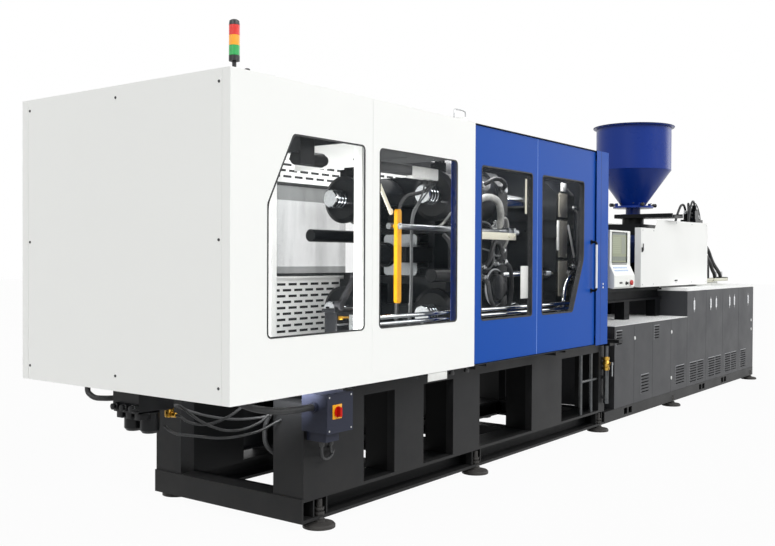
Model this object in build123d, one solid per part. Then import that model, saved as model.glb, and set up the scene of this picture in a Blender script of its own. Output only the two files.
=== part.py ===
from build123d import *
from math import cos, radians, sin, tan
import os

os.makedirs("parts", exist_ok=True)

# x is measured from the clamp-end guard face, y from the centreline with the operator side negative,
# and z from the floor. Each piece is moved by half the machine's length when it is saved.

# Guard: the sheet-metal housing round the clamp
guard_length = 4600.0
guard_room = 262.5            # from the platens' edge to the guard's side
guard_height = 1700.0
guard_floor = 871.0
panel_split = 1161.0          # seam between the two white panels
gate_length = 2023.0          # of the operator's gate
rear_gate_length = 2253.0
end_panel_width = 247.0       # fixed blue panel behind the gate
sheet = 3.0
corner_return = 60.0
joint_gap = 2.0
pane_thickness = 5.0
pane_overlap = 20.0
post = 60.0
window_radius = 32.0
window_start = 262.0          # from the clamp-end face to the first white window
window_before_seam = 73.0
window_after_seam = 66.0
window_end = 228.0            # from the second white window to the operator's gate
window_sill = 322.0           # from the guard's floor to the white windows
window_head = 284.0           # from the windows to the guard's top
window_cut_width = 200.0
window_cut_height = 385.0

# Gates: trays that slide behind the fixed panels
gate_depth = 15.0             # from the guard plane to the gate's face
gate_thickness = 40.0
gate_border = 60.0
gate_rim = 28.0
gate_clearance = 9.0          # above the sill and under the head plate
sill = 5.0
run = 0.3                     # running clearance between faces that slide
gate_window_sill = 308.0
gate_window_start = 108.0     # from the gate's opening edge
gate_window_length = 770.0
gate_window_gap = 154.0
gate_window_end = 219.0       # to the gate's closing edge
gate_cut_width = 212.0
gate_cut_height = 450.0
rear_window_sill = 615.0
rear_window_head = 350.0
rear_window_start = 75.0
rear_window_length = 1165.0
rear_window_gap = 100.0
rear_window_end = 73.0
handle_length = 420.0
handle_radius = 11.0
handle_reach = 45.0
handle_inset = 73.0           # from the gate's closing edge
handle_rise = 481.0           # of its lower foot over the guard's floor
slot_length = 100.0
slot_height = 20.0
slot_pitch = 136.0
slot_rise = 48.0

# Base frame under the clamp
base_start = 832.0
base_margin = 11.5            # from the platens' edge to the base's side
base_reach = 516.0            # of the clamp's base past the guard
end_plate = 12.0
foot_height = 51.0
beam_height = 146.0
beam_flange = 20.0
beam_web = 16.0
column_depth = 245.0
column_widths = (572.0, 339.0, 368.0, 549.0, 131.0)
first_gap = 331.0             # between the columns, from the clamp end
second_gap = 380.0
last_gap = 778.0
column_wall = 16.0
rail_drop = 122.0             # of the box rails' underside below the guard's floor
rail_rise = 34.0              # of their top over it
way_height = 10.0
way_width = 120.0
foot_radius = 100.0
foot_inset = 20.0             # of a foot's centre from the base's side
first_foot = 163.0            # from the base's clamp end
second_foot = 1964.0
third_foot = 97.0             # from the clamp base's other end
fourth_foot = 1629.0          # from the cabinets' start
last_foot = 113.0             # from the machine's end

# Injection base with its cabinets
base_joint = 10.0             # gap between the two base frames
cabinet_gap = 237.0           # from the clamp's base to the cabinets
low_bays = (495.0, 506.0, 550.0, 521.0)
high_bays = (668.0, 647.0, 673.0, 677.0)
cabinet_floor = 161.0
low_height = 807.0
cabinet_wall = 4.0
door_thickness = 22.0
door_round = 2.5              # of the outer edges, about which each door turns
door_gap = 2.0
latch_drop = 168.0            # of the high doors' latches below their top
tread_thickness = 6.0
top_plate = 34.0

# Clamp unit
tie_spacing = 880.0
tie_radius = 70.0
tie_clearance = 1.5
tie_overhang = 140.0          # of the bars behind the lock cylinders
platen_rise = 85.0            # of the platens over the ways
platen_chamfer = 110.0
fixed_inset = 100.0           # from the fixed platen's back to the guard's end
fixed_thickness = 400.0
screen_gap = 4.0              # round the fixed platen in the sheet behind it
daylight = 850.0              # between the platens as modelled
moving_plate = 150.0
moving_body = 320.0
rib_step = 60.0               # of the inner ribs, behind the platen's back
close_travel = 700.0
lock_length = 280.0
lock_radius = 200.0
lock_margin = 10.0            # from the lock cylinders to the platen's edge
slot_neck = 28.0
slot_tee = 46.0
bore_radius = 100.0
bore_length = 120.0
relief_radius = 230.0
bolt_radius = 12.0
bolt_depth = 60.0
bolt_height = 450.0
bolt_width = 700.0
traverse_inset = 75.0         # of the traverse cylinders from the platen's edge
traverse_drop = 150.0         # of the operator's side, and the rise of the other
traverse_radius = 50.0
traverse_rod = 30.0
pull_rod = 25.0
guide_radius = 15.0
guide_low = 1205.0
guide_pitch = 42.0
pull_offset = 190.0
ejector_hole = 24.0
ejector_rod = 22.0
ejector_travel = 120.0
ejector_width = 320.0
safety_gap = 60.0             # from the platen's edge to the drop bar
safety_rise = 180.0           # of the drop bar over the machine's axis
safety_overhang = 50.0        # of the drop bar past the moving platen's face
safety_length = 1710.0
safety_radius = 20.0
lever_length = 530.0

# Injection unit
cylinder_radius = 60.0        # barrel bore, with the screw's clearance
barrel_radius = 118.0
band_radius = 136.0
nozzle_depth = 274.0          # of the nozzle's tip in the fixed platen
throat_reach = 2920.0         # from the fixed platen to the feed throat
bed_gauge = 600.0
bed_drop = 350.0              # of the bed under the machine's axis
carriage_travel = 450.0
cover_front = 910.0           # of the covers before the throat
cover_back = 1315.0
cover_lift = 25.0             # of the covers over the bed
cover_height = 770.0
cover_width = 925.0
cover_low_length = 410.0      # of the covers' lower front part
cover_step = 120.0
hopper_radius = 432.5
hopper_rim = 465.0
hopper_wall = 4.0
hopper_straight = 515.0
hopper_cone = 420.0
hopper_neck = 120.0
hopper_mouth = 135.0          # the cone's lower end
hopper_bore = 81.0
hopper_flange = 232.0
flange_thickness = 24.0
slide_rise = 100.0            # from the feed block to the hopper's slide
slide_half = 150.0
slide_thickness = 26.0
hopper_travel = 400.0         # the hopper slides towards the operator to be emptied
rail_height = 36.0
pull_length = 900.0
cover_pad = 40.0
purge_gap = 12.0              # from the guard's end to the purge guard
purge_reach = 500.0
purge_half = 250.0
purge_height = 440.0
purge_pin = 9.0
carriage_plate = 44.0
feed_length = 540.0
feed_width = 640.0
feed_rise = 390.0             # of the feed block over the machine's axis
throat_radius = 75.0
drive_gap = 450.0
drive_plate = 110.0
drive_size = 600.0
drive_offset = 235.0          # of the injection cylinders from the axis
drive_rod = 45.0
valve_reach = 1130.0          # of the valve block behind the throat
valve_outset = 40.0           # of the valve block outside the bed's rail

# Control head, main switch, beacon and the hydraulics under the clamp end
hmi_gap = 135.0               # from the guard's end to the control head
hmi_width = 470.0
hmi_rise = 486.0              # over the guard's floor
hmi_height = 537.0
hmi_inset = 40.5              # of its face from the guard's side
hmi_depth = 70.0
hmi_shelf = 46.0
arm_reach = 40.0              # from the guard's end to the head's swivel
estop_travel = 6.0
switch_x = 814.0
switch_width = 226.0
switch_height = 222.0
switch_depth = 200.0
switch_drop = 263.0           # of the box's lower edge below the guard's floor
beacon_x = 113.0
beacon_inset = 92.0
beacon_radius = 28.0
beacon_foot = 82.0
lens_height = 52.0
unit_x = 90.0
unit_length = 250.0
unit_y = 25.0
unit_width = 230.0
unit_height = 135.0
filter_radius = 55.0
filter_length = 121.0
filter_pitch = 142.0

guard_top = guard_floor + guard_height
platen_size = tie_spacing + 2 * (lock_radius + lock_margin)
half_width = platen_size / 2 + guard_room
half_base = platen_size / 2 + base_margin
beam_top = foot_height + beam_height
front_split = guard_length - end_panel_width - gate_length
rear_split = guard_length - end_panel_width - rear_gate_length
clamp_base_end = guard_length + base_reach
wide_gap = clamp_base_end - base_start - sum(column_widths) - first_gap - second_gap - last_gap
column_gaps = (first_gap, second_gap, wide_gap, last_gap)
cabinet_start = clamp_base_end + cabinet_gap
rail_bottom = guard_floor - rail_drop
rail_top = guard_floor + rail_rise
way_top = rail_top + way_height
axis_height = way_top + platen_rise + platen_size / 2
cabinet_middle = cabinet_start + sum(low_bays)
overall_length = cabinet_middle + sum(high_bays)
low_top = cabinet_floor + low_height
bed_height = axis_height - bed_drop
high_top = bed_height - top_plate
sill_top = guard_floor + sill
head_bottom = guard_top - sheet - sill
gate_bottom = guard_floor + gate_clearance
gate_top = guard_top - sheet - gate_clearance
handle_low = guard_floor + handle_rise
fixed_back = guard_length - fixed_inset
fixed_face = fixed_back - fixed_thickness
moving_face = fixed_face - daylight
platen_back = moving_face - moving_plate - moving_body
tie_tail = platen_back - lock_length - tie_overhang
traverse_offset = platen_size / 2 - traverse_inset
safety_y = -platen_size / 2 - safety_gap
safety_z = axis_height + safety_rise
safety_start = moving_face + safety_overhang - safety_length
nozzle_tip = fixed_back - nozzle_depth
throat = fixed_back + throat_reach
carriage_floor = bed_height + rail_height + run
pull_height = carriage_floor + carriage_plate + 60
cover_start = throat - cover_front
cover_end = throat + cover_back
cover_bottom = bed_height + cover_lift
cover_top = cover_bottom + cover_height
pad_places = (cover_start + 420, cover_end - 400)
feed_top = axis_height + feed_rise
slide_top = feed_top + slide_rise
cone_low = slide_top + hopper_neck
cone_top = cone_low + hopper_cone
hopper_top = cone_top + hopper_straight
valve_x = throat + valve_reach
valve_y = -bed_gauge / 2 - valve_outset
purge_end = guard_length + purge_reach
purge_low = axis_height - 150
switch_low = guard_floor - switch_drop
hmi_left = guard_length + hmi_gap
hmi_low = guard_floor + hmi_rise
hmi_front = half_width - hmi_inset
switch_left = max(switch_x, base_start - 18)
arm_x = guard_length + arm_reach
estop_x = hmi_left + hmi_width - 102
estop_z = hmi_low + 52


def block(x0, x1, y0, y1, z0, z1):
    return Pos((x0 + x1) / 2, (y0 + y1) / 2, (z0 + z1) / 2) * Box(x1 - x0, y1 - y0, z1 - z0)


def rod_x(x0, x1, y, z, radius):
    return Pos((x0 + x1) / 2, y, z) * Rot(0, 90, 0) * Cylinder(radius, x1 - x0)


def rod_y(x, y0, y1, z, radius):
    return Pos(x, (y0 + y1) / 2, z) * Rot(90, 0, 0) * Cylinder(radius, y1 - y0)


def rod_z(x, y, z0, z1, radius):
    return Pos(x, y, (z0 + z1) / 2) * Cylinder(radius, z1 - z0)


def turned_x(points, y, z):
    # a body turned about an axis along X, from (x, radius) pairs
    face = make_face(Polyline(*[(x, radius) for x, radius in points], close=True))
    return Pos(0, y, z) * revolve(Plane.XY * face, Axis.X)


def turned_z(points, x, y):
    # a body turned about a vertical axis, from (radius, z) pairs
    face = make_face(Polyline(*[(radius, z) for radius, z in points], close=True))
    return Pos(x, y, 0) * revolve(Plane.XZ * face, Axis.Z)


def hose(points, radius):
    # a hose along straight runs, with each bend as wide as its two runs allow
    bends = []
    for before, corner, after in zip(points, points[1:], points[2:]):
        first = Vector(*corner) - Vector(*before)
        second = Vector(*after) - Vector(*corner)
        turn = radians(first.get_angle(second))
        bends.append(0.45 * min(first.length, second.length) / tan(turn / 2))
    path = FilletPolyline(*points, radius=bends)
    return sweep(Plane(path @ 0, z_dir=path % 0) * Circle(radius), path)


def box_tube(x0, x1, y0, y1, z0, z1, wall, along):
    # a rectangular tube, open at both ends of the axis that along names
    keep = [wall, wall, wall]
    keep["XYZ".index(along)] = 0
    hollow = block(x0 + keep[0], x1 - keep[0], y0 + keep[1], y1 - keep[1], z0 + keep[2], z1 - keep[2])
    return block(x0, x1, y0, y1, z0, z1) - hollow


def h_section(width, height):
    half, core = width / 2, beam_web / 2
    right = [(half, 0), (half, beam_flange), (core, beam_flange)]
    right += [(u, height - v) for u, v in reversed(right)]
    left = [(-u, v) for u, v in reversed(right)]
    return make_face(Polyline(*right, *left, close=True))


def h_beam_x(x0, x1, y, z, width, height):
    section = Plane((x0, y, z), x_dir=(0, 1, 0), z_dir=(1, 0, 0)) * h_section(width, height)
    return extrude(section, x1 - x0)


def h_beam_y(y0, y1, x, z, width, height):
    section = Plane((x, y1, z), x_dir=(1, 0, 0), z_dir=(0, -1, 0)) * h_section(width, height)
    return extrude(section, y1 - y0)


def outline(points, radius):
    return make_face(FilletPolyline(*points, radius=radius, close=True))


def rectangle(x0, x1, z0, z1):
    return Pos((x0 + x1) / 2, (z0 + z1) / 2) * Rectangle(x1 - x0, z1 - z0)


def side_slab(face, shallow, deep, side):
    # an outline in x and z, made solid between two depths behind the guard plane of one side
    low = min(side * (half_width - shallow), side * (half_width - deep))
    return Pos(0, low, 0) * extrude(Plane.XZ * face, shallow - deep)


def side_block(x0, x1, shallow, deep, z0, z1, side):
    ends = sorted((side * (half_width - shallow), side * (half_width - deep)))
    return block(x0, x1, ends[0], ends[1], z0, z1)


def columns():
    places = []
    x = base_start
    for width, gap in zip(column_widths, column_gaps + (0.0,)):
        places.append((x, x + width))
        x += width + gap
    return places


def stiffeners(x, side):
    # two web plates in the side beam over a foot
    outer = half_base - beam_flange / 2
    inner = half_base - column_depth / 2 + beam_web / 2
    plates = []
    for step in (-60, 60):
        ends = sorted((side * inner, side * outer))
        plates.append(block(x + step - 6, x + step + 6, ends[0], ends[1],
                            foot_height + beam_flange, beam_top - beam_flange))
    return plates


def base_beams():
    pieces = []
    reach = clamp_base_end + base_joint
    for side in (-1, 1):
        y = side * (half_base - column_depth / 2)
        clamp_beam = h_beam_x(base_start, clamp_base_end, y, foot_height, column_depth, beam_height)
        for x in foot_places()[:3]:
            clamp_beam += stiffeners(x, side)
        pieces.append(clamp_beam)
        low, high = sorted((side * half_base, side * (half_base - column_depth)))
        skirt = box_tube(reach, overall_length, low, high, foot_height, cabinet_floor, beam_web, "X")
        for pocket in fork_pockets():
            skirt -= block(pocket, pocket + 85, low - 1, high + 1, foot_height + 28, cabinet_floor - 20)
        pieces.append(skirt)
    pieces.append(block(base_start - end_plate, base_start, -half_base, half_base, foot_height, beam_top))
    return pieces


def fork_pockets():
    first = cabinet_start + 247
    second = cabinet_middle + 435
    third = cabinet_middle + 1275
    return [x + step for x in (first, second, third) for step in (0, 115)]


def base_columns():
    pieces = []
    for side in (-1, 1):
        low, high = sorted((side * half_base, side * (half_base - column_depth)))
        for x0, x1 in columns():
            pieces.append(box_tube(x0, x1, low, high, beam_top, rail_bottom, column_wall, "Z"))
    return pieces


def bed_rails():
    pieces = []
    middle = half_base - column_depth / 2
    for side in (-1, 1):
        low, high = sorted((side * half_base, side * (half_base - column_depth)))
        rail = box_tube(base_start, clamp_base_end, low, high, rail_bottom, rail_top, column_wall, "X")
        way = block(base_start + 900, fixed_face + fixed_thickness, side * middle - way_width / 2,
                    side * middle + way_width / 2, rail_top, way_top)
        pieces.append(rail + fillet(way.edges().filter_by(Axis.X).group_by(Axis.Z)[-1], 3))
    return pieces


def cross_members():
    inner = half_base - column_depth
    pieces = []
    for x in (base_start + 75, base_start + 1072, base_start + 1990, base_start + 2870,
              clamp_base_end - 75):
        pieces.append(h_beam_y(-inner, inner, x, foot_height, 150, beam_height))
    for x0, x1 in columns()[:4]:
        x = (x0 + x1) / 2
        pieces.append(box_tube(x - 60, x + 60, -inner, inner, rail_bottom, rail_bottom + 120, 10, "Y"))
    for x in (cabinet_start - 60, cabinet_start + 900, cabinet_middle - 90, cabinet_middle + 900,
              cabinet_middle + 1800, overall_length - 75):
        pieces.append(box_tube(x - 50, x + 50, -inner, inner, foot_height, cabinet_floor, 10, "Y"))
    return pieces


def guard_brackets():
    # arms from the base frame out to the guard's bottom rails
    outer = half_width - gate_depth - gate_thickness - 5
    pieces = []
    for x0, x1 in columns():
        x = (x0 + x1) / 2
        for side in (-1, 1):
            low, high = sorted((side * half_base, side * outer))
            arm = block(x - 45, x + 45, low, high, guard_floor - 60, guard_floor)
            tip = block(x - 46, x + 46, min(side * outer, side * (outer - 90)),
                        max(side * outer, side * (outer - 90)), guard_floor - 60, guard_floor - 30)
            pieces.append(arm - tip)
    return pieces


def oil_tray():
    inner = half_base - column_depth - 10
    top = rail_bottom + 135
    tray = block(base_start + 20, clamp_base_end - 20, -inner, inner, rail_bottom + 120, top)
    hollow = block(base_start + 22, clamp_base_end - 22, -inner + 2, inner - 2, rail_bottom + 122, top + 1)
    return [tray - hollow]


def foot_places():
    return [base_start + first_foot, base_start + second_foot, clamp_base_end - third_foot,
            cabinet_start + fourth_foot, overall_length - last_foot]


def levelling_feet():
    stem = 20.0
    profile = [(0, 0), (foot_radius, 0), (foot_radius, 15), (foot_radius - 8, 24), (48, 33), (36, 33),
               (36, foot_height - 4), (stem, foot_height - 4), (stem, foot_height), (0, foot_height)]
    pieces = []
    for side in (-1, 1):
        for x in foot_places():
            pieces.append(turned_z(profile, x, side * (half_base - foot_inset)))
    return pieces


def bay_edges(start, bays):
    edges = [start]
    for width in bays:
        edges.append(edges[-1] + width)
    return edges


def vent(x0, x1, z0, z1, depth0, depth1):
    # a block of louvre slots through a sheet on the operator's side
    rows = max(3, round((z1 - z0) / 30))
    rise = (z1 - z0) / rows
    cut = []
    for row in range(rows):
        z = z0 + (row + 0.5) * rise
        cut.append(block(x0, x1, depth0, depth1, z - 5, z + 5))
    return cut


def cabinet(start, bays, top):
    # walls between pairs of doors, a floor, a roof and a louvred back, all of folded sheet
    edges = bay_edges(start, bays)
    front = -half_base + door_thickness + run
    wall = cabinet_wall
    back = block(edges[0], edges[-1], half_base - wall, half_base, cabinet_floor, top)
    for x in edges[1:-1:2]:
        back -= vent(x - 160, x + 160, top - 330, top - 120, half_base - wall - 1, half_base + 1)
    pieces = [back]
    pieces.append(block(edges[0], edges[-1], front, half_base - wall, cabinet_floor, cabinet_floor + wall))
    pieces.append(block(edges[0], edges[-1], front, half_base - wall, top - wall, top))
    for index, x in enumerate(edges[::2]):
        left = (x, x - wall / 2, x - wall)[index]
        pieces.append(block(left, left + wall, front, half_base - wall, cabinet_floor + wall, top - wall))
    return pieces


def door_latch(x, z, outer):
    # a raised oblong plate with a turning paddle, and the ends of its bolt above and below
    plate = block(x - 26, x + 26, outer - 6, outer + 1, z - 58, z + 58)
    plate = fillet(plate.edges().filter_by(Axis.Y), 22)
    plate += block(x - 5, x + 5, outer - 4, outer + 1, z - 84, z + 84)
    return plate + block(x - 9, x + 9, outer - 9, outer, z - 38, z + 38)


def door(x0, x1, top, vents, latches, locks, hinge_left):
    # a tray door with its vents, a folded edge, its latches and its locks
    outer = -half_base
    x0 += door_gap / 2
    x1 -= door_gap / 2
    z0 = cabinet_floor + door_gap
    z1 = top - door_gap
    leaf = block(x0, x1, outer, outer + door_thickness, z0, z1)
    leaf = fillet(leaf.edges().filter_by(Axis.Z).sort_by(Axis.Y)[:2], door_round)
    leaf -= block(x0 + 3, x1 - 3, outer + 3, outer + door_thickness + 1, z0 + 3, z1 - 3)
    for left, right, low, high in vents:
        leaf -= vent(left, right, low, high, outer - 1, outer + 4)
    for x, z in latches:
        leaf += door_latch(x, z, outer)
    for x, z in locks:
        leaf += rod_y(x, outer - 4, outer + 1, z, 12)
    knuckle = x0 + 20 if hinge_left else x1 - 20
    for z in (z0 + 90, z1 - 90):
        leaf += block(knuckle - 12, knuckle + 12, outer + 3, outer + door_thickness, z - 40, z + 40)
    return [leaf]


def tread_plate():
    return [block(cabinet_start, cabinet_middle, -half_base, half_base, low_top, low_top + tread_thickness)]


def injection_bed():
    # a top plate on the high cabinet, and two beams with hardened guide rails on pedestals
    plate = block(cabinet_middle, overall_length, -half_base, half_base, high_top, high_top + top_plate)
    pieces = [fillet(plate.edges().filter_by(Axis.Z), 12)]
    floor = low_top + tread_thickness
    start = cabinet_start - 200
    for side in (-1, 1):
        y = side * bed_gauge / 2
        beam = h_beam_x(start, cabinet_middle, y, bed_height - 130, 110, 130)
        pieces.append(beam)
        for x in (cabinet_start + 130, cabinet_start + 1040, cabinet_middle - 130):
            pieces.append(box_tube(x - 70, x + 70, y - 55, y + 55, floor, bed_height - 130, 10, "Z"))
        rail = block(start, overall_length - 500, y - 28, y + 28, bed_height, bed_height + rail_height)
        pieces.append(chamfer(rail.edges().filter_by(Axis.X).group_by(Axis.Z)[-1], 8))
    return pieces


def guard_frame():
    # square tubes: corner posts, inner posts, rails, roof bars, and the plates that carry the sheets
    inner = gate_depth + gate_thickness + 5
    pieces = []
    top = guard_top - sheet
    for side in (-1, 1):
        split = front_split if side < 0 else rear_split
        end = sheet + post
        for z in (guard_floor, top - post):
            pieces.append(side_block(sheet, end, sheet, inner + post, z, z + post, side))
            pieces.append(side_block(end, guard_length - sheet, inner, inner + post, z, z + post, side))
        pieces.append(side_block(sheet, end, sheet, end, guard_floor + post, top - post, side))
        for x in (panel_split, split, guard_length - end_panel_width + 60):
            pieces.append(side_block(x - post / 2, x + post / 2, inner, inner + post,
                                     guard_floor + post, top - post, side))
        for z in (guard_floor, head_bottom):
            pieces.append(side_block(sheet + post, guard_length - sheet, sheet, inner, z, z + sill, side))
    reach = half_width - inner - post
    for x in (sheet + post / 2, panel_split, front_split):
        pieces.append(block(x - post / 2, x + post / 2, -reach, reach, top - post, top))
    for x in (sheet + post / 2, unit_x + 70, unit_x + unit_length - 20):
        pieces.append(block(x - post / 2, x + post / 2, -reach, reach, guard_floor, guard_floor + post))
    return pieces


def clamp_end_panel():
    # a sheet between the two folded corners, screwed to the end posts
    edge = half_width - corner_return - joint_gap
    panel = block(0, sheet, -edge, edge, guard_floor, guard_top)
    return [fillet(panel.edges().filter_by(Axis.Z).sort_by(Axis.X)[:2], 1.5)]


def folded_corner(x1, side):
    # the first side panel in plan: along the side and round the corner on to the end face
    plane = side * half_width
    back = side * (half_width - sheet)
    turn = side * (half_width - corner_return)
    points = [(x1, plane), (0, plane), (0, turn), (sheet, turn), (sheet, back), (x1, back)]
    flat = make_face(Polyline(*points, close=True))
    body = Pos(0, 0, guard_floor) * extrude(flat, guard_height)
    upright = body.edges().filter_by(Axis.Z)
    corner = upright.sort_by(lambda edge: abs(edge.center().Y) * 10 - edge.center().X)[-1]
    return fillet(corner, 2.5)


def window_corners(x0, x1, z0, z1, cut=None):
    # the corners of a window, with one corner cut off by a slope where cut names it
    if cut is None:
        return [(x0, z0), (x1, z0), (x1, z1), (x0, z1)]
    width, drop, top_left = cut
    if top_left:
        return [(x0, z0), (x1, z0), (x1, z1), (x0 + width, z1), (x0, z1 - drop)]
    return [(x0, z0), (x1 - width, z0), (x1, z0 + drop), (x1, z1), (x0, z1)]


def white_windows():
    low = guard_floor + window_sill
    high = guard_top - window_head
    cut = (window_cut_width, window_cut_height, True)
    return [window_corners(window_start, panel_split - window_before_seam, low, high, cut),
            window_corners(panel_split + window_after_seam, front_split - window_end, low, high)]


def gate_windows():
    low = guard_floor + gate_window_sill
    high = guard_top - window_head
    first = front_split + gate_window_start
    second = first + gate_window_length + gate_window_gap
    end = front_split + gate_length - gate_window_end
    cut = (gate_cut_width, gate_cut_height, False)
    return [window_corners(first, first + gate_window_length, low, high),
            window_corners(second, end, low, high, cut)]


def rear_windows():
    low = guard_floor + rear_window_sill
    high = guard_top - rear_window_head
    first = rear_split + rear_window_start
    second = first + rear_window_length + rear_window_gap
    return [window_corners(first, first + rear_window_length, low, high),
            window_corners(second, rear_split + rear_gate_length - rear_window_end, low, high)]


def front_panels():
    seam = joint_gap / 2
    first = folded_corner(panel_split - seam, -1)
    second = side_block(panel_split + seam, front_split - seam, 0, sheet, guard_floor, guard_top, -1)
    return [metal - side_slab(outline(points, window_radius), -1, sheet + 1, -1)
            for metal, points in zip((first, second), white_windows())]


def front_panel_windows():
    panes = [offset(outline(points, window_radius), pane_overlap) for points in white_windows()]
    return [side_slab(pane, sheet, sheet + pane_thickness, -1) for pane in panes]


def slot_rows(x0, x1, z0, z1):
    # rows of slots like bricks in a wall
    rows = int((z1 - z0) // slot_rise)
    faces = []
    for row in range(rows):
        z = z0 + (row + 0.5) * slot_rise
        x = x0 + (slot_pitch / 2 if row % 2 else 0)
        while x + slot_length <= x1:
            faces.append(rectangle(x, x + slot_length, z - slot_height / 2, z + slot_height / 2))
            x += slot_pitch
    return faces


def gate(x0, x1, windows, side):
    # a folded tray with a border, stiffening rims round its windows and shoes on the sill
    face = gate_depth
    skin = face + sheet
    back = face + gate_thickness
    x0 += joint_gap
    x1 -= joint_gap
    body = side_slab(rectangle(x0, x1, gate_bottom, gate_top), face, back, side)
    recess = rectangle(x0 + gate_border, x1 - gate_border, gate_bottom + gate_border,
                       gate_top - gate_border)
    middle = (windows[0][1][0] + windows[1][0][0]) / 2
    recess -= rectangle(middle - 25, middle + 25, gate_bottom, gate_top)
    for points in windows:
        recess -= offset(outline(points, window_radius), gate_rim)
    body -= side_slab(recess, skin, back + 1, side)
    for points in windows:
        hole = outline(points, window_radius)
        body -= side_slab(hole, face - 1, back + 1, side)
        body -= side_slab(offset(hole, gate_rim / 2), skin + pane_thickness, back + 1, side)
    groove = rectangle(middle - 3, middle + 3, gate_bottom - 1, gate_top + 1)
    body -= side_slab(groove, face - 1, face + 1.5, side)
    for x in (x0 + 150, x1 - 150):
        body += side_block(x - 60, x + 60, face + 8, back - 8, sill_top + run, gate_bottom, side)
        body += side_block(x - 60, x + 60, face + 8, back - 8, gate_top, head_bottom - run, side)
    return body


def gate_panes(windows, side):
    depth = gate_depth + sheet + pane_thickness
    panes = []
    for points in windows:
        pane = offset(outline(points, window_radius), gate_rim / 2 - 1)
        panes.append(side_slab(pane, depth, depth + pane_thickness, side))
    return panes


def handle(x, side):
    # a bent bar handle with two round feet
    foot = side * (half_width - gate_depth)
    grip = side * (half_width + handle_reach - handle_radius)
    low = handle_low
    high = handle_low + handle_length
    path = FilletPolyline((x, foot, low), (x, grip, low), (x, grip, high), (x, foot, high), radius=20)
    bar = sweep(Plane(path @ 0, z_dir=path % 0) * Circle(handle_radius), path)
    for z in (low, high):
        ends = sorted((foot, foot + side * 6))
        bar += rod_y(x, ends[0], ends[1], z, 20)
    return bar


def front_gate():
    close = guard_length - end_panel_width
    return [gate(front_split, close, gate_windows(), -1), handle(close - handle_inset, -1)]


def rear_gate():
    body = gate(rear_split, guard_length - end_panel_width, rear_windows(), 1)
    low = gate_bottom + gate_border + 10
    for points in rear_windows():
        left, right = points[0][0], points[1][0]
        rows = slot_rows(left, right, low, points[0][1] - gate_rim - 14)
        rows += slot_rows(left, right, points[2][1] + gate_rim + 14, gate_top - gate_border - 10)
        body -= [side_slab(face, gate_depth - 1, gate_depth + sheet + 1, 1) for face in rows]
    return [body, handle(guard_length - end_panel_width - handle_inset, 1)]


def rear_guard_panel():
    return [folded_corner(rear_split - joint_gap / 2, 1)]


def fixed_end_panels():
    pieces = []
    x0 = guard_length - end_panel_width
    for side in (-1, 1):
        plane = side * half_width
        back = side * (half_width - sheet)
        turn = side * (platen_size / 2 + 25)
        points = [(x0, plane), (guard_length, plane), (guard_length, turn), (guard_length - sheet, turn),
                  (guard_length - sheet, back), (x0, back)]
        flat = make_face(Polyline(*points, close=True))
        pieces.append(Pos(0, 0, guard_floor) * extrude(flat, guard_height))
    return pieces


def roof_panel():
    edge = half_width - sheet - joint_gap / 2
    roof = block(sheet + joint_gap / 2, front_split, -edge, edge, guard_top - sheet, guard_top)
    return [roof]


def tie_places():
    half = tie_spacing / 2
    return [(y, axis_height + z) for y in (-half, half) for z in (-half, half)]


def platen_plate(x0, x1, margin=0.0):
    size = platen_size + 2 * margin
    face = chamfer(Rectangle(size, size).vertices(), platen_chamfer)
    section = Plane((x0, 0, axis_height), x_dir=(0, 1, 0), z_dir=(1, 0, 0)) * face
    return extrude(section, x1 - x0)


def tee_slots(face_x, inward):
    # T-slots for mould clamps, right across the plate
    cuts = []
    half = platen_size / 2 + 1
    for z in (-300, -150, 150, 300):
        low = axis_height + z
        neck = sorted((face_x - inward, face_x + inward * 32))
        tee = sorted((face_x + inward * 30, face_x + inward * 52))
        cuts.append(block(neck[0], neck[1], -half, half, low - slot_neck / 2, low + slot_neck / 2))
        cuts.append(block(tee[0], tee[1], -half, half, low - slot_tee / 2, low + slot_tee / 2))
    return cuts


def platen_screen():
    # a sheet that closes the guard round and above the fixed platen
    half = half_width - gate_depth - gate_thickness - 5
    x = guard_length - end_panel_width + 60 + post / 2
    low = axis_height - platen_size / 2 + 10
    sheet_metal = block(x, x + sheet, -half, half, low, guard_top - sheet - post)
    return [sheet_metal - platen_plate(x - 1, x + sheet + 1, screen_gap)]


def bolt_holes(face_x, inward):
    ends = sorted((face_x - inward, face_x + inward * bolt_depth))
    return [rod_x(ends[0], ends[1], y, axis_height + z, bolt_radius)
            for y in (-bolt_width / 2, bolt_width / 2) for z in (-bolt_height / 2, bolt_height / 2)]


def platen_feet(x0, x1, bottom):
    middle = half_base - column_depth / 2
    low = axis_height - platen_size / 2
    return [block(x0, x1, side * middle - way_width / 2, side * middle + way_width / 2, bottom, low + 5)
            for side in (-1, 1)]


def fixed_platen():
    back = fixed_back
    body = platen_plate(fixed_face, back)
    body += platen_feet(fixed_face + 40, back - 40, way_top)
    for y, z in tie_places():
        body -= rod_x(fixed_face - 1, back + 1, y, z, tie_radius + 0.3)
    relief = [(fixed_face + bore_length, bore_radius), (back + 1, relief_radius), (back + 1, 0),
              (fixed_face + bore_length, 0)]
    body -= turned_x(relief, 0, axis_height)
    body -= rod_x(fixed_face - 1, fixed_face + bore_length + 1, 0, axis_height, bore_radius)
    body -= tee_slots(fixed_face, 1)
    body -= bolt_holes(fixed_face, 1)
    for side in (-1, 1):
        for z in (axis_height - 170, axis_height + 170):
            low, high = sorted((side * 300, side * (platen_size / 2 + 1)))
            pocket = block(fixed_face + 140, back - 60, low, high, z - 110, z + 110)
            body -= fillet(pocket.edges().filter_by(Axis.X), 40)
    body += rod_x(back - 1, purge_end - 10, purge_half + 14, purge_low, purge_pin)
    return [body]


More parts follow.
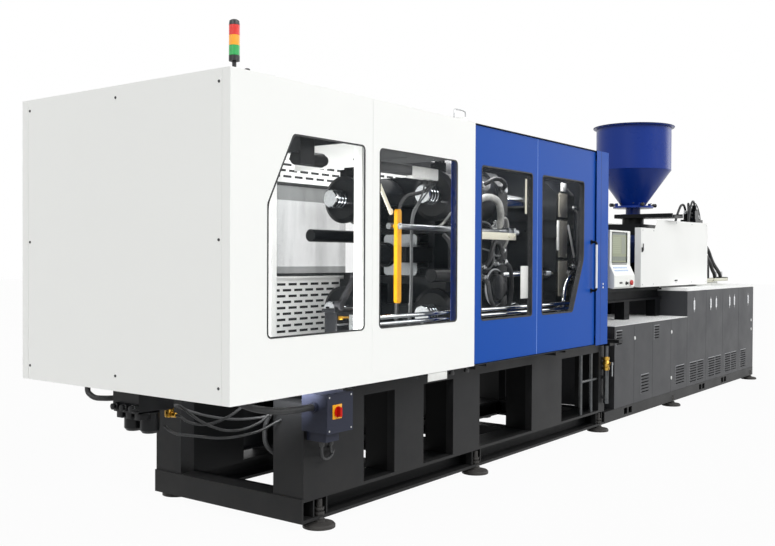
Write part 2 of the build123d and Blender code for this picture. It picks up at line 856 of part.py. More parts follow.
def moving_platen():
    front = moving_face
    plate = front - moving_plate
    back = platen_back
    half = tie_spacing / 2
    body = platen_plate(plate, front)
    for y, z in tie_places():
        body += rod_x(back, plate + 1, y, z, lock_radius)
    for start, out, rib in ((back, half, 45), (back + rib_step, 200, 30)):
        for middle in (-out, out):
            z = axis_height + middle
            body += block(start, plate + 1, -half, half, z - rib, z + rib)
            body += block(start, plate + 1, middle - rib, middle + rib, axis_height - half, axis_height + half)
    for y, z in tie_places():
        body -= rod_x(back - 1, front + 1, y, z, tie_radius + tie_clearance)
    for y, z in ejector_places():
        body -= rod_x(back - 1, front + 1, y, axis_height + z, ejector_hole)
    body -= tee_slots(front, -1)
    body -= bolt_holes(front, -1)
    for side in (-1, 1):
        z = axis_height + side * traverse_drop
        body -= rod_x(back - 1, front + 1, side * traverse_offset, z, traverse_radius + run)
    return [body]


def ejector_places():
    return [(y, z) for y in (-100, 100) for z in (-80, 80)]


def slide_shoes():
    feet = platen_feet(platen_back - 150, moving_face, way_top + run)
    low = axis_height - platen_size / 2
    over = block(platen_back - 151, moving_face + 1, -half_base, half_base, low, low + 10)
    return [foot - over for foot in feet]


def lock_cylinders():
    # ring cylinders that clamp the tie bars, bolted on the moving platen's back
    face = platen_back
    bore = tie_radius + tie_clearance
    profile = [(face, bore), (face, lock_radius), (face - 40, lock_radius), (face - 45, lock_radius - 22),
               (face - lock_length + 60, lock_radius - 22), (face - lock_length + 50, lock_radius - 12),
               (face - lock_length + 20, lock_radius - 12), (face - lock_length, lock_radius - 45),
               (face - lock_length, bore)]
    rings = []
    for y, z in tie_places():
        ring = turned_x(profile, y, z)
        ring += block(face - 210, face - 90, y - 70, y + 70, z + lock_radius - 40, z + lock_radius + 45)
        ring += block(face - 190, face - 110, y - 45, y + 45, z + lock_radius + 44, z + lock_radius + 95)
        rings.append(ring)
    return rings


def tie_bars():
    # bars with their nuts on the fixed platen's back and lock grooves on the tail
    back = fixed_back
    groove = tie_radius - 7
    profile = [(tie_tail, 0), (tie_tail, tie_radius - 8), (tie_tail + 8, tie_radius)]
    for step in range(3):
        x = tie_tail + 30 + step * 36
        profile += [(x, tie_radius), (x, groove), (x + 18, groove), (x + 18, tie_radius)]
    profile += [(back, tie_radius), (back, tie_radius + 42), (back + 85, tie_radius + 42),
                (back + 92, tie_radius + 32), (back + 92, 0)]
    return [turned_x(profile, y, z) for y, z in tie_places()]


def traverse_cylinders():
    # barrels through the moving platen, open towards the fixed platen
    front = moving_face - 10
    back = front - close_travel - 260
    pieces = []
    for side in (-1, 1):
        profile = [(back, 0), (back, traverse_radius - 4), (back + 4, traverse_radius),
                   (front, traverse_radius), (front, traverse_rod + run),
                   (back + 40, traverse_rod + run), (back + 40, 0)]
        pieces.append(turned_x(profile, side * traverse_offset, axis_height + side * traverse_drop))
    return pieces


def cylinder_rods():
    # the rods that are bolted to the fixed platen: two that move the platen and two that pull the unit in
    pieces = []
    start = moving_face - 190
    for side in (-1, 1):
        profile = [(start, 0), (start, traverse_rod), (fixed_face - 40, traverse_rod),
                   (fixed_face - 40, traverse_rod + 22), (fixed_face, traverse_rod + 22), (fixed_face, 0)]
        pieces.append(turned_x(profile, side * traverse_offset, axis_height + side * traverse_drop))
        pull_end = throat - feed_length / 2 - pull_length + carriage_travel + 100
        pieces.append(rod_x(fixed_back, pull_end, side * pull_offset, pull_height, pull_rod))
    return pieces


def guide_rods():
    # two rods along the operator's side, in brackets on the guard's posts
    face = half_width - gate_depth - gate_thickness - 5 - post
    ends = (panel_split + post / 2, guard_length - end_panel_width + 60 - post / 2)
    body = Part()
    for x in (ends[0] - post / 2, front_split, ends[1] + post / 2):
        body += block(x - 24, x + 24, -face, -face + 38, guide_low - 30, guide_low + guide_pitch + 30)
    for z in (guide_low, guide_low + guide_pitch):
        body += rod_x(ends[0] - post, ends[1] + post, -face + 20, z, guide_radius)
    return [body]


def ejector():
    # plate behind the moving platen with four knock-out rods and its pull rod
    plate = platen_back - 40
    half = ejector_width / 2
    body = block(plate - 40, plate, -half, half, axis_height - half, axis_height + half)
    body = fillet(body.edges().filter_by(Axis.X), 30)
    for y, z in ejector_places():
        body += rod_x(plate - 1, moving_face - 4, y, axis_height + z, ejector_rod)
    body += rod_x(plate - 40 - ejector_travel - 200, plate - 39, 0, axis_height, traverse_rod)
    return [body]


def ejector_cylinder():
    # a hydraulic cylinder on a bridge that spans the lock cylinders
    face = platen_back - 80 - ejector_travel - 60
    bore = traverse_rod + run
    barrel = [(face - 200, 0), (face - 200, 80), (face - 40, 80), (face - 40, 95), (face, 95), (face, bore),
              (face - 180, bore), (face - 180, 0)]
    body = turned_x(barrel, 0, axis_height)
    inner = ejector_width / 2 + 12.5
    outer = inner + 40
    for side in (-1, 1):
        low, high = sorted((side * inner, side * outer))
        body += block(face - 38, platen_back + rib_step, low, high, axis_height - 60, axis_height + 60)
        low, high = sorted((side * 60, side * outer))
        body += block(face - 38, face - 2, low, high, axis_height - 60, axis_height + 60)
    return [body]


def safety_bar():
    # the mechanical drop bar's rod beside the platen, with its two brackets
    rod = rod_x(safety_start, safety_start + safety_length, safety_y, safety_z, safety_radius)
    half = platen_size / 2
    for x in (moving_face - 130, moving_face - 50):
        rod += block(x, x + 30, safety_y - 28, -half, safety_z - 32, safety_z + 32)
    return [rod]


def safety_lever():
    # the yellow bar that hangs on the rod's end
    y0 = safety_y - safety_radius - 26
    x = safety_start + 40
    bar = block(x - 22, x + 22, y0 - 14, y0 + 14, safety_z - lever_length + 30, safety_z + 110)
    bar = fillet(bar.edges().filter_by(Axis.Y), 20)
    eye = rod_y(x, y0 + 13, safety_y - safety_radius - run, safety_z, 16)
    return [bar + eye]


def water_frame():
    # light pipe frame in the last opening of the base, with the cooling-water riser
    y = -half_base + 24
    x2 = columns()[-1][0]
    x0 = x2 - 340
    x1 = x2 - 120
    pipe = rod_z(x0, y, beam_top, rail_bottom, 15)
    pipe += rod_z(x1, y, beam_top, rail_bottom, 15)
    pipe += rod_x(x0, x2, y, beam_top + 300, 13)
    return [pipe]


def water_riser():
    y = -half_base - 34
    x = clamp_base_end - 40
    z0 = beam_top + 60
    valve = beam_top + 440
    riser = rod_z(x, y, z0, valve - 60, 24)
    riser += rod_z(x, y, valve + 60, guard_floor - 62, 20)
    for z in (z0 + 60, valve - 130):
        riser += block(x - 30, x + 30, y, -half_base, z - 12, z + 12)
    return [riser]


def water_valve_body():
    y = -half_base - 34
    x = clamp_base_end - 40
    z = beam_top + 440
    profile = [(0, z - 60), (32, z - 60), (32, z - 36), (26, z - 30), (34, z), (26, z + 30), (32, z + 36),
               (32, z + 60), (0, z + 60)]
    body = turned_z(profile, x, y)
    body += rod_y(x, y - 52, y, z, 13)
    return [body]


def water_valve_handle():
    y = -half_base - 34
    x = clamp_base_end - 40
    z = beam_top + 440
    hub = rod_y(x, y - 66, y - 52.3, z, 16)
    lever = block(x - 11, x + 11, y - 64, y - 58, z - 120, z)
    return [hub + fillet(lever.edges().filter_by(Axis.Y), 8)]


def switch_box():
    outer = -half_base - switch_depth
    x0 = switch_left
    top = switch_low + switch_height
    body = block(x0, x0 + switch_width, outer + 12, -half_base, switch_low, top)
    lid = block(x0 - 3, x0 + switch_width + 3, outer, outer + 12, switch_low - 3, top + 3)
    body += fillet(lid.edges().filter_by(Axis.Y), 4)
    body += block(x0 + 45, x0 + 160, outer + 50, -half_base, switch_low - 62, switch_low)
    body += rod_x(x0 - 24, x0, outer + 100, switch_low + 150, 30)
    return [body]


def switch_handle():
    outer = -half_base - switch_depth
    x = switch_left + 84
    z = switch_low + switch_height / 2 + 10
    body = rod_y(x, outer - 8, outer - run, z, 32)
    grip = block(x - 9, x + 9, outer - 32, outer - 7, z - 28, z + 28)
    return [body + fillet(grip.edges().filter_by(Axis.Y), 7)]


def clamp_hydraulics():
    # valve block under the guard's clamp end with two oil filters hanging from it
    x = unit_x + unit_length * 0.45
    low = guard_floor - unit_height
    half = unit_width / 2
    body = block(unit_x, unit_x + unit_length, unit_y - half, unit_y + half, low, guard_floor)
    body = chamfer(body.edges().filter_by(Axis.X).group_by(Axis.Z)[0], 10)
    foot = low - filter_length
    can = [(0, low), (filter_radius, low), (filter_radius, foot + 16), (filter_radius - 14, foot), (0, foot)]
    for side in (-1, 1):
        body += turned_z(can, x, unit_y + side * filter_pitch / 2)
    end = unit_x + unit_length
    for y in (unit_y - 60, unit_y + 30):
        body += rod_x(end - 1, end + 110, y, low + 70, 32)
    return [body]


def clamp_hoses():
    z = guard_floor
    side = unit_y + unit_width / 2
    x = unit_x + 60
    first = hose([(33, 300, z), (33, 300, z - 36), (50, 262, z - 68), (100, 222, z - 73), (x, 188, z - 73),
                  (x, side, z - 73)], 16)
    x = switch_left - 24
    y = -half_base - switch_depth + 100
    low = switch_low + 150
    start = unit_x + unit_length - 20
    second = hose([(start, -640, z), (start, -640, z - 42), (start + 70, -690, z - 80),
                   (start + 200, -745, low + 6), (x - 110, y, low), (x, y, low)], 20)
    end = unit_x + unit_length
    third = hose([(end, -72, z - 116), (end + 50, -72, z - 116), (end + 85, -240, 660),
                  (end + 180, -330, 608), (end + 300, -370, 606), (base_start - 110, -430, 650),
                  (base_start - 70, -460, 700), (base_start, -460, 700)], 8)
    inner = half_base - column_depth
    near = base_start + 30
    fourth = hose([(near + 60, -inner, 700), (near + 60, -inner + 70, 700), (near + 30, -inner + 130, 600),
                   (near + 20, -inner + 120, 470), (near + 70, -inner + 70, 400),
                   (near + 130, -inner + 60, 470), (near + 170, -inner + 80, 600),
                   (near + 190, -inner + 60, 680), (near + 190, -inner, 680)], 14)
    return [first, second, third, fourth]


def lubrication_unit():
    # motor and oil tank hung under the guard's top rail
    inner = -(half_width - gate_depth - gate_thickness - 5 - post)
    top = guard_top - sheet - post
    tank = (650, 765)
    motor = (675, 900)
    body = block(tank[0], tank[1] + 5, inner, inner + 14, top - 360, top + post)
    body += block(*tank, inner + 14, inner + 130, top - 290, top - 170)
    body += rod_x(*motor, inner + 62, top - 318, 42)
    body += rod_x(motor[1], motor[1] + 30, inner + 62, top - 318, 30)
    return [body]


def hmi_housing():
    # an upright screen head over a sloping key shelf, with a recess for the screen
    y = -hmi_front
    low = hmi_low
    high = hmi_low + hmi_height
    points = [(y + hmi_depth, low + 20), (y - hmi_shelf + 14, low), (y - hmi_shelf, low + 16),
              (y - hmi_shelf, low + 120), (y, low + 215), (y, high), (y + hmi_depth, high - 12)]
    side = make_face(Polyline(*points, close=True))
    section = Plane((hmi_left, 0, 0), x_dir=(0, 1, 0), z_dir=(1, 0, 0)) * side
    body = extrude(section, hmi_width)
    body = fillet(body.edges().filter_by(Axis.X).group_by(Axis.Z)[-1], 8)
    body -= block(hmi_left + 48, hmi_left + 392, y - 1, y + 9, high - 300, high - 22)
    body -= rod_y(estop_x, y - hmi_shelf - 1, y - hmi_shelf + 14 + estop_travel, estop_z, 12 + run)
    return [body]


def hmi_screen():
    y = -hmi_front
    high = hmi_low + hmi_height
    return [block(hmi_left + 50, hmi_left + 390, y + 3, y + 9, high - 298, high - 24)]


def emergency_stop():
    face = -hmi_front - hmi_shelf
    profile = [(0, 0), (12, 0), (12, 12 + estop_travel), (22, 12 + estop_travel), (25, 18 + estop_travel),
               (22, 30 + estop_travel), (10, 35 + estop_travel), (0, 35 + estop_travel)]
    head = turned_z(profile, 0, 0)
    placed = Pos(estop_x, face + 12, estop_z) * Rot(90, 0, 0) * head
    return [placed]


def hmi_arm():
    # the arm that carries the control head on the guard's end post
    y = -hmi_front + hmi_depth
    z = hmi_low + hmi_height - 190
    arm = block(guard_length, arm_x + 26, y + 30, y + 110, z - 60, z + 60)
    arm += rod_z(arm_x, y + 70, z - 80, z + 80, 24)
    return [arm]


def hmi_bracket():
    y = -hmi_front + hmi_depth
    z = hmi_low + hmi_height - 190
    ear = rod_z(arm_x, y + 70, z + 80 + run, z + 96, 30)
    ear += rod_z(arm_x, y + 70, z - 96, z - 80 - run, 30)
    for low, high in ((z + 80 + run, z + 96), (z - 96, z - 80 - run)):
        ear += block(arm_x, arm_x + 200, y + 45, y + 95, low, high)
    ear += block(arm_x + 150, arm_x + 200, y, y + 95, z - 96, z + 96)
    return [ear]


def beacon_stand():
    y = -half_width + beacon_inset
    z = guard_top
    profile = [(0, z), (34, z), (34, z + 10), (11, z + 16), (11, z + 50), (beacon_radius, z + 54),
               (beacon_radius, z + beacon_foot), (0, z + beacon_foot)]
    cap = z + beacon_foot + 3 * lens_height
    top = [(0, cap), (beacon_radius, cap), (beacon_radius - 3, cap + 22), (beacon_radius - 12, cap + 28),
           (0, cap + 28)]
    return [turned_z(profile, beacon_x, y), turned_z(top, beacon_x, y)]


def beacon_lenses():
    y = -half_width + beacon_inset
    lenses = []
    for level in range(3):
        z = guard_top + beacon_foot + level * lens_height
        top = z + lens_height
        lens = [(0, z), (beacon_radius - 1, z), (beacon_radius, z + 2), (beacon_radius, top - 2),
                (beacon_radius - 1, top), (0, top)]
        lenses.append(turned_z(lens, beacon_x, y))
    return lenses


def injection_carriage():
    # a plate on the rails with the feed block, arms for the covers and an extension for the hose tray
    top = carriage_floor + carriage_plate
    rear = cover_end - 60
    width = bed_gauge / 2 + 70
    body = block(throat - feed_length / 2 - 260, rear, -width, width, carriage_floor, top)
    body += block(rear, rear + 600, -width, -width + 130, carriage_floor, carriage_floor + 22)
    for side in (-1, 1):
        low, high = sorted((side * (width - 1), side * (cover_width / 2 - cover_pad)))
        for x in pad_places:
            body += block(x, x + 40, low, high, carriage_floor, top)
    x0 = throat - feed_length / 2
    x1 = throat + feed_length / 2
    half = feed_width / 2
    points = [(-half, top), (half, top), (half, feed_top - 190), (half - 120, feed_top),
              (-half + 120, feed_top), (-half, feed_top - 190)]
    section = Plane((x0, 0, 0), x_dir=(0, 1, 0), z_dir=(1, 0, 0)) * make_face(Polyline(*points, close=True))
    feed = extrude(section, x1 - x0)
    feed -= rod_x(x0 - 1, x1 + 1, 0, axis_height, barrel_radius + 0.3)
    feed -= rod_z(throat, 0, axis_height, feed_top + 1, throat_radius)
    return [body + feed]


def carriage_cylinders():
    # the two pull-in cylinders that hold the nozzle against the fixed platen
    x1 = throat - feed_length / 2
    x0 = x1 - pull_length
    bore = pull_rod + run
    profile = [(x0, bore), (x0, 46), (x0 + 30, 46), (x0 + 34, 40), (x1 - 34, 40), (x1 - 30, 46), (x1, 46),
               (x1, 0), (x1 - 60, 0), (x1 - 60, bore)]
    return [turned_x(profile, side * pull_offset, pull_height) for side in (-1, 1)]


def barrel():
    # nozzle, barrel head, heater bands and the plain rear end, with the screw's bore
    rear = throat + feed_length / 2
    bore = cylinder_radius + 0.3
    head = fixed_back + 130
    profile = [(nozzle_tip, 14), (nozzle_tip, 34), (nozzle_tip + 26, 46), (head - 120, 46), (head - 60, 90),
               (head, 90), (head, barrel_radius)]
    for step in range(4):
        x = head + 70 + step * 250
        profile += [(x, barrel_radius), (x, band_radius), (x + 200, band_radius), (x + 200, barrel_radius)]
    profile += [(rear, barrel_radius), (rear, bore), (head + 60, bore), (head - 30, 14)]
    body = turned_x(profile, 0, axis_height)
    body -= rod_z(throat, 0, axis_height, axis_height + barrel_radius + 5, 60)
    return [body]


def screw():
    rear = throat + feed_length / 2
    head = fixed_back + 130
    end = rear + drive_gap - run
    profile = [(head + 75, 0), (head + 190, 42), (head + 200, cylinder_radius), (head + 250, cylinder_radius),
               (head + 260, 45), (throat - 600, 45), (throat - 400, 40), (throat + 130, 40),
               (throat + 150, cylinder_radius), (end, cylinder_radius), (end, 0)]
    return [turned_x(profile, 0, axis_height)]


def injection_cylinders():
    rear = throat + feed_length / 2
    pieces = []
    for side in (-1, 1):
        end = rear + drive_gap - 40
        profile = [(rear, drive_rod + run), (rear, 84), (rear + 30, 84), (rear + 36, 72), (end - 30, 72),
                   (end - 24, 84), (end, 84), (end, drive_rod + run)]
        pieces.append(turned_x(profile, side * drive_offset, axis_height))
    return pieces


def drive_unit():
    # bearing plate, hydraulic motor and the two pistons' rods that pull it
    front = throat + feed_length / 2 + drive_gap
    half = drive_size / 2
    plate = block(front, front + drive_plate, -half, half, axis_height - 170, axis_height + 170)
    body = fillet(plate.edges().filter_by(Axis.X), 70)
    x = front + drive_plate
    profile = [(x, 0), (x, 190), (x + 40, 190), (x + 55, 150), (x + 230, 150), (x + 245, 120), (x + 330, 120),
               (x + 345, 90), (x + 345, 0)]
    body += turned_x(profile, 0, axis_height)
    for side in (-1, 1):
        body += rod_x(front - drive_gap + 20, front + 1, side * drive_offset, axis_height, drive_rod)
    return [body]


def injection_covers():
    # a bent white sheet on each side of the unit, lower over the barrel, with end returns
    pieces = []
    step_x = cover_start + cover_low_length
    low_edge = cover_top - cover_step
    for side in (-1, 1):
        plane = side * cover_width / 2
        points = [(cover_start, cover_bottom), (cover_end, cover_bottom), (cover_end, cover_top),
                  (step_x + 70, cover_top - 20), (step_x, low_edge), (cover_start, low_edge)]
        face = make_face(Polyline(*points, close=True))
        low = min(plane, plane - side * sheet)
        cover = Pos(0, low, 0) * extrude(Plane.XZ * face, -sheet)
        ends = sorted((plane, plane - side * 70))
        cover += block(cover_start, cover_start + sheet, ends[0], ends[1], cover_bottom, low_edge)
        cover += block(cover_end - sheet, cover_end, ends[0], ends[1], cover_bottom, cover_top)
        cover += block(cover_start, cover_end, ends[0], ends[1], cover_bottom, cover_bottom + sheet)
        ends = sorted((plane - side * cover_pad, plane - side * sheet))
        for x in pad_places:
            cover += block(x, x + 40, ends[0], ends[1], cover_bottom + sheet, cover_bottom + 560)
        pieces.append(cover)
    return pieces


def barrel_cover():
    # blue sheet hood over the heated barrel
    x0 = purge_end + 20
    x1 = throat - feed_length / 2
    half, low, high = 215.0, axis_height - 60, axis_height + 260
    points = [(-half, low), (-half, high - 90), (-half + 90, high), (half - 90, high), (half, high - 90),
              (half, low)]
    outer = make_face(Polyline(*points, close=True))
    inner = [(y * (half - 3) / half, z if z == low else z - 3) for y, z in points]
    across = {"x_dir": (0, 1, 0), "z_dir": (1, 0, 0)}
    body = extrude(Plane((x0, 0, 0), **across) * outer, x1 - x0)
    core = Plane((x0 - 1, 0, -1), **across) * make_face(Polyline(*inner, close=True))
    body -= extrude(core, x1 - x0 + 2)
    return [body]


def purge_guard():
    # hood over the nozzle with a sight window, hinged on a pin along its lower rear edge
    x0 = guard_length + purge_gap
    half, low, high = purge_half, purge_low, purge_low + purge_height
    body = block(x0, purge_end, -half, half, low, high)
    body = chamfer(body.edges().filter_by(Axis.X).group_by(Axis.Z)[-1], 100)
    core = block(x0 - 1, purge_end + 1, -half + sheet, half - sheet, low - 1, high - sheet)
    body -= chamfer(core.edges().filter_by(Axis.X).group_by(Axis.Z)[-1], 99)
    window = outline([(x0 + 90, low + 70), (purge_end - 90, low + 70), (purge_end - 90, low + 270),
                      (x0 + 90, low + 270)], 20)
    body -= Pos(0, -half - 1, 0) * extrude(Plane.XZ * window, -6)
    for x in (x0 + 40, purge_end - 100):
        body += rod_x(x, x + 60, half + 14, low, 15)
        body -= rod_x(x - 1, x + 61, half + 14, low, purge_pin + run)
    return [body]


def hopper_profile():
    # from the rim's underside down the outside, and up again on the inside
    wall = hopper_wall
    rim = hopper_top - 14
    neck = hopper_bore + wall
    plate = cone_low - flange_thickness
    foot = slide_top + flange_thickness
    outer = [(hopper_radius, rim), (hopper_radius, cone_top), (hopper_mouth, cone_low),
             (hopper_flange, cone_low), (hopper_flange, plate), (neck, plate), (neck, foot), (slide_half, foot),
             (slide_half, slide_top)]
    inner = [(hopper_bore, slide_top), (hopper_bore, cone_low), (hopper_mouth - wall, cone_low + wall),
             (hopper_radius - wall, cone_top + wall), (hopper_radius - wall, hopper_top),
             (hopper_rim, hopper_top), (hopper_rim, rim)]
    return outer + inner


def hopper():
    body = turned_z(hopper_profile(), throat, 0)
    circle = hopper_flange - 27
    for step in range(4):
        turn = radians(45 + 90 * step)
        body += rod_z(throat + circle * cos(turn), circle * sin(turn), cone_low, cone_low + 34, 17)
    return [body]


def hopper_base():
    # slide plate on the feed block: the hopper is pulled towards the operator to be emptied
    half = slide_half
    top = slide_top - run
    low = top - slide_thickness
    plate = block(throat - half, throat + half, -hopper_travel - half, half + 20, low, top)
    plate = fillet(plate.edges().filter_by(Axis.Z), 20)
    plate += rod_z(throat, 0, feed_top, low + 1, throat_radius + 50)
    plate -= rod_z(throat, 0, feed_top - 1, top + 1, throat_radius)
    plate -= rod_z(throat, -hopper_travel, low - 1, top + 1, throat_radius)
    start = -hopper_travel - half + 10
    for side in (-1, 1):
        ends = sorted((throat + side * (half - 1), throat + side * (half + 30)))
        plate += block(ends[0], ends[1], start, half + 10, low, top)
        ends = sorted((throat + side * (half + 3), throat + side * (half + 27)))
        plate += block(ends[0], ends[1], start, half + 10, top - 1, top + 20)
    return [plate]


def valve_block():
    # servo valve and manifold on a post behind the operator's cover, with a hose block half-way up
    x = valve_x
    y = valve_y
    top = cover_top + 40
    body = block(x - 30, x + 30, y - 20, y + 20, carriage_floor + carriage_plate, cover_top - 90)
    body += block(x - 120, x + 150, y - 70, y + 120, cover_top - 90, top)
    body += block(x - 80, x + 60, y - 50, y + 50, top, top + 110)
    body += block(x - 40, x + 50, y - 80, y + 10, axis_height - 10, axis_height + 210)
    for step in (-50, 50, 120):
        body += rod_z(x + step, y + 85, top - 1, top + 70, 22)
    return [body]


def injection_hoses():
    # two hoses from the hose block down to the tray, and two that arch over from the manifold
    tray = carriage_floor + 22
    x = valve_x + 50
    y = valve_y - 20
    z = axis_height
    first = [(x, y, z + 150), (x + 160, y, z + 150), (x + 350, y + 10, z + 110), (x + 500, y + 25, z),
             (x + 585, y + 35, z - 140), (x + 600, y + 40, z - 220), (x + 600, y + 40, tray)]
    second = [(x, y, z + 50), (x + 140, y, z + 50), (x + 300, y + 8, z + 15), (x + 410, y + 20, z - 80),
              (x + 450, y + 32, z - 180), (x + 450, y + 32, tray)]
    top = cover_top + 110
    y = valve_y + 85
    port = throat + feed_length / 2 + 310
    over = [(valve_x - 50, y, top), (valve_x - 50, y, top + 60), (valve_x - 110, y, top + 120),
            (valve_x - 210, y, top + 110), (valve_x - 310, y + 8, top), (valve_x - 400, y + 15, top - 160),
            (port + 20, -drive_offset, z + 230), (port, -drive_offset, z + 160),
            (port, -drive_offset, z + 72)]
    back = [(valve_x + 120, y, top), (valve_x + 120, y, top + 50), (valve_x + 170, y - 10, top + 85),
            (valve_x + 225, y - 40, top + 40), (valve_x + 240, y - 80, top - 90),
            (valve_x + 215, y - 115, top - 250), (valve_x + 150, valve_y - 35, z + 190),
            (valve_x + 50, valve_y - 35, z + 190)]
    return [hose(first, 20), hose(second, 20), hose(over, 14), hose(back, 12)]


def cut_doors():
    low = bay_edges(cabinet_start, low_bays)
    high = bay_edges(cabinet_middle, high_bays)
    doors = {}
    low_vents = ([(low[0] + 45, low[0] + 180, low_top - 190, low_top - 46)],
                 [(low[1] + 195, low[1] + 400, cabinet_floor + 75, cabinet_floor + 270)],
                 [(low[2] + 50, low[2] + 185, low_top - 190, low_top - 46)],
                 [(low[3] + 160, low[3] + 430, cabinet_floor + 60, cabinet_floor + 270)])
    low_locks = ([], [(low[1] + 17, low_top - 142)], [],
                 [(low[3] + 17, low_top - 142), (low[3] + 17, cabinet_floor + 155)])
    for index in range(4):
        doors["low_door_%d" % (index + 1)] = door(low[index], low[index + 1], low_top, low_vents[index],
                                                  [], low_locks[index], index % 2 == 0)
    latch_places = ((226,), (159, 368), (266, 467), (412,))
    for index in range(4):
        x0, x1 = high[index], high[index + 1]
        first = (x0 + 100, x0 + 330, cabinet_floor + 35, cabinet_floor + 270)
        second = (x0 + 360, x0 + 580, cabinet_floor + 35, cabinet_floor + 270)
        vents = [first, second] if index < 3 else [first]
        latches = [(x0 + place, high_top - latch_drop) for place in latch_places[index]]
        locks = [(x1 - 94, cabinet_floor + 648), (x1 - 90, cabinet_floor + 524)] if index == 3 else []
        doors["high_door_%d" % (index + 1)] = door(x0, x1, high_top, vents, latches, locks, index % 2 == 0)
    return doors


def model():
    nodes = {
        "base_frame": base_beams() + base_columns() + cross_members() + guard_brackets() + oil_tray(),
        "bed_rails": bed_rails(),
        "levelling_feet": levelling_feet(),
        "low_cabinet": cabinet(cabinet_start, low_bays, low_top),
        "high_cabinet": cabinet(cabinet_middle, high_bays, high_top),
        "tread_plate": tread_plate(),
        "injection_bed": injection_bed(),
        "guard_frame": guard_frame() + hmi_arm(),
        "clamp_end_panel": clamp_end_panel(),
        "front_panels": front_panels(),
        "front_panel_windows": front_panel_windows(),
        "front_gate": front_gate(),
        "front_gate_windows": gate_panes(gate_windows(), -1),
        "rear_guard_panel": rear_guard_panel(),
        "rear_gate": rear_gate(),
        "rear_gate_windows": gate_panes(rear_windows(), 1),
        "fixed_end_panels": fixed_end_panels() + platen_screen(),
        "roof_panel": roof_panel(),
        "fixed_platen": fixed_platen(),
        "moving_platen": moving_platen(),
        "tie_bars": tie_bars(),
        "lock_cylinders": lock_cylinders(),
        "slide_shoes": slide_shoes(),
        "traverse_cylinders": traverse_cylinders(),
        "cylinder_rods": cylinder_rods() + guide_rods(),
        "ejector": ejector(),
        "ejector_cylinder": ejector_cylinder(),
        "safety_bar": safety_bar(),
        "safety_lever": safety_lever(),
        "water_pipes": water_frame() + water_riser() + water_valve_body(),
        "water_valve_handle": water_valve_handle(),
        "switch_box": switch_box(),
        "main_switch": switch_handle(),
        "clamp_hydraulics": clamp_hydraulics() + lubrication_unit(),
        "clamp_hoses": clamp_hoses(),
        "hmi_housing": hmi_housing() + hmi_bracket(),
        "hmi_screen": hmi_screen(),
        "emergency_stop": emergency_stop(),
        "beacon_stand": beacon_stand(),
        "beacon_lenses": beacon_lenses(),
        "injection_carriage": injection_carriage(),
        "barrel": barrel(),
        "screw": screw(),
        "injection_cylinders": injection_cylinders() + carriage_cylinders(),
        "drive_unit": drive_unit(),
        "injection_covers": injection_covers(),
        "barrel_cover": barrel_cover(),
        "purge_guard": purge_guard(),
        "hopper": hopper(),
        "hopper_base": hopper_base(),
        "valve_block": valve_block(),
        "injection_hoses": injection_hoses(),
    }
    nodes.update(cut_doors())
    return nodes


for name, pieces in model().items():
    solids = [solid for piece in pieces for solid in piece.solids()]
    export_step(Pos(-overall_length / 2, 0, 0) * Compound(solids), "parts/%s.step" % name)
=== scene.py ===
import bpy, bmesh, math
from itertools import product
from mathutils import Matrix, Vector


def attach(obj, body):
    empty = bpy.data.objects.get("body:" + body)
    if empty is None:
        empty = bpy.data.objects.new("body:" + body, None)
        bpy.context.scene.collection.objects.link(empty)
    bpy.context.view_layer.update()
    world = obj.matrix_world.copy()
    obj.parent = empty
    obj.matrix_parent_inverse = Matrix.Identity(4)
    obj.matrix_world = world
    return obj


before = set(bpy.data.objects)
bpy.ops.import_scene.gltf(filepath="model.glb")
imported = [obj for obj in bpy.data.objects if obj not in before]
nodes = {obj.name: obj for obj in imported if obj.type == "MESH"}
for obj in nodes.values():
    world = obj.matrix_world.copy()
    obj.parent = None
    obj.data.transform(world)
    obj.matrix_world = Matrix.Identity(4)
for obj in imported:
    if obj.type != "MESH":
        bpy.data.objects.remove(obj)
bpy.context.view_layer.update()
print("frame loaded")

halfLength = 5.045   # the frame's origin is the middle of the machine, pieces are placed from its clamp end
guardFace, gateFace, roofTop = 912.5, 897.5, 2571   # the guard's sheets and the gates from the middle, the roof


def place(x, y, z):
    return Vector((x / 1000 - halfLength, y / 1000, z / 1000))


def tint(code, shade=1.0):
    code = paint.get(code, code)
    parts = [int(code[i:i + 2], 16) / 255 for i in (1, 3, 5)]
    linear = [c / 12.92 if c <= 0.04045 else ((c + 0.055) / 1.055) ** 2.4 for c in parts]
    return tuple(min(1, c * shade) for c in linear) + (1.0,)


# ---- shader maths as plain expressions

class Wire:
    def __init__(self, finish, socket):
        self.finish, self.socket = finish, socket

    def op(self, operation, *values):
        return self.finish.add("ShaderNodeMath", {"operation": operation}, dict(enumerate(values)))

    def __gt__(self, other): return self.op("GREATER_THAN", self, other)
    def __lt__(self, other): return self.op("LESS_THAN", self, other)
    def __abs__(self): return self.op("ABSOLUTE", self)

    def most(self, other): return self.op("MAXIMUM", self, other)
    def between(self, low, high): return (self > low) * (self < high)
    def floor(self): return self.op("FLOOR", self)
    def fraction(self): return self - self.floor()


# plus, minus, times and divided by, also with a plain number in front
for sign, operation in (("add", "ADD"), ("sub", "SUBTRACT"), ("mul", "MULTIPLY"), ("truediv", "DIVIDE")):
    setattr(Wire, "__%s__" % sign, lambda a, b, how=operation: a.op(how, a, b))
    setattr(Wire, "__r%s__" % sign, lambda a, b, how=operation: a.op(how, b, a))


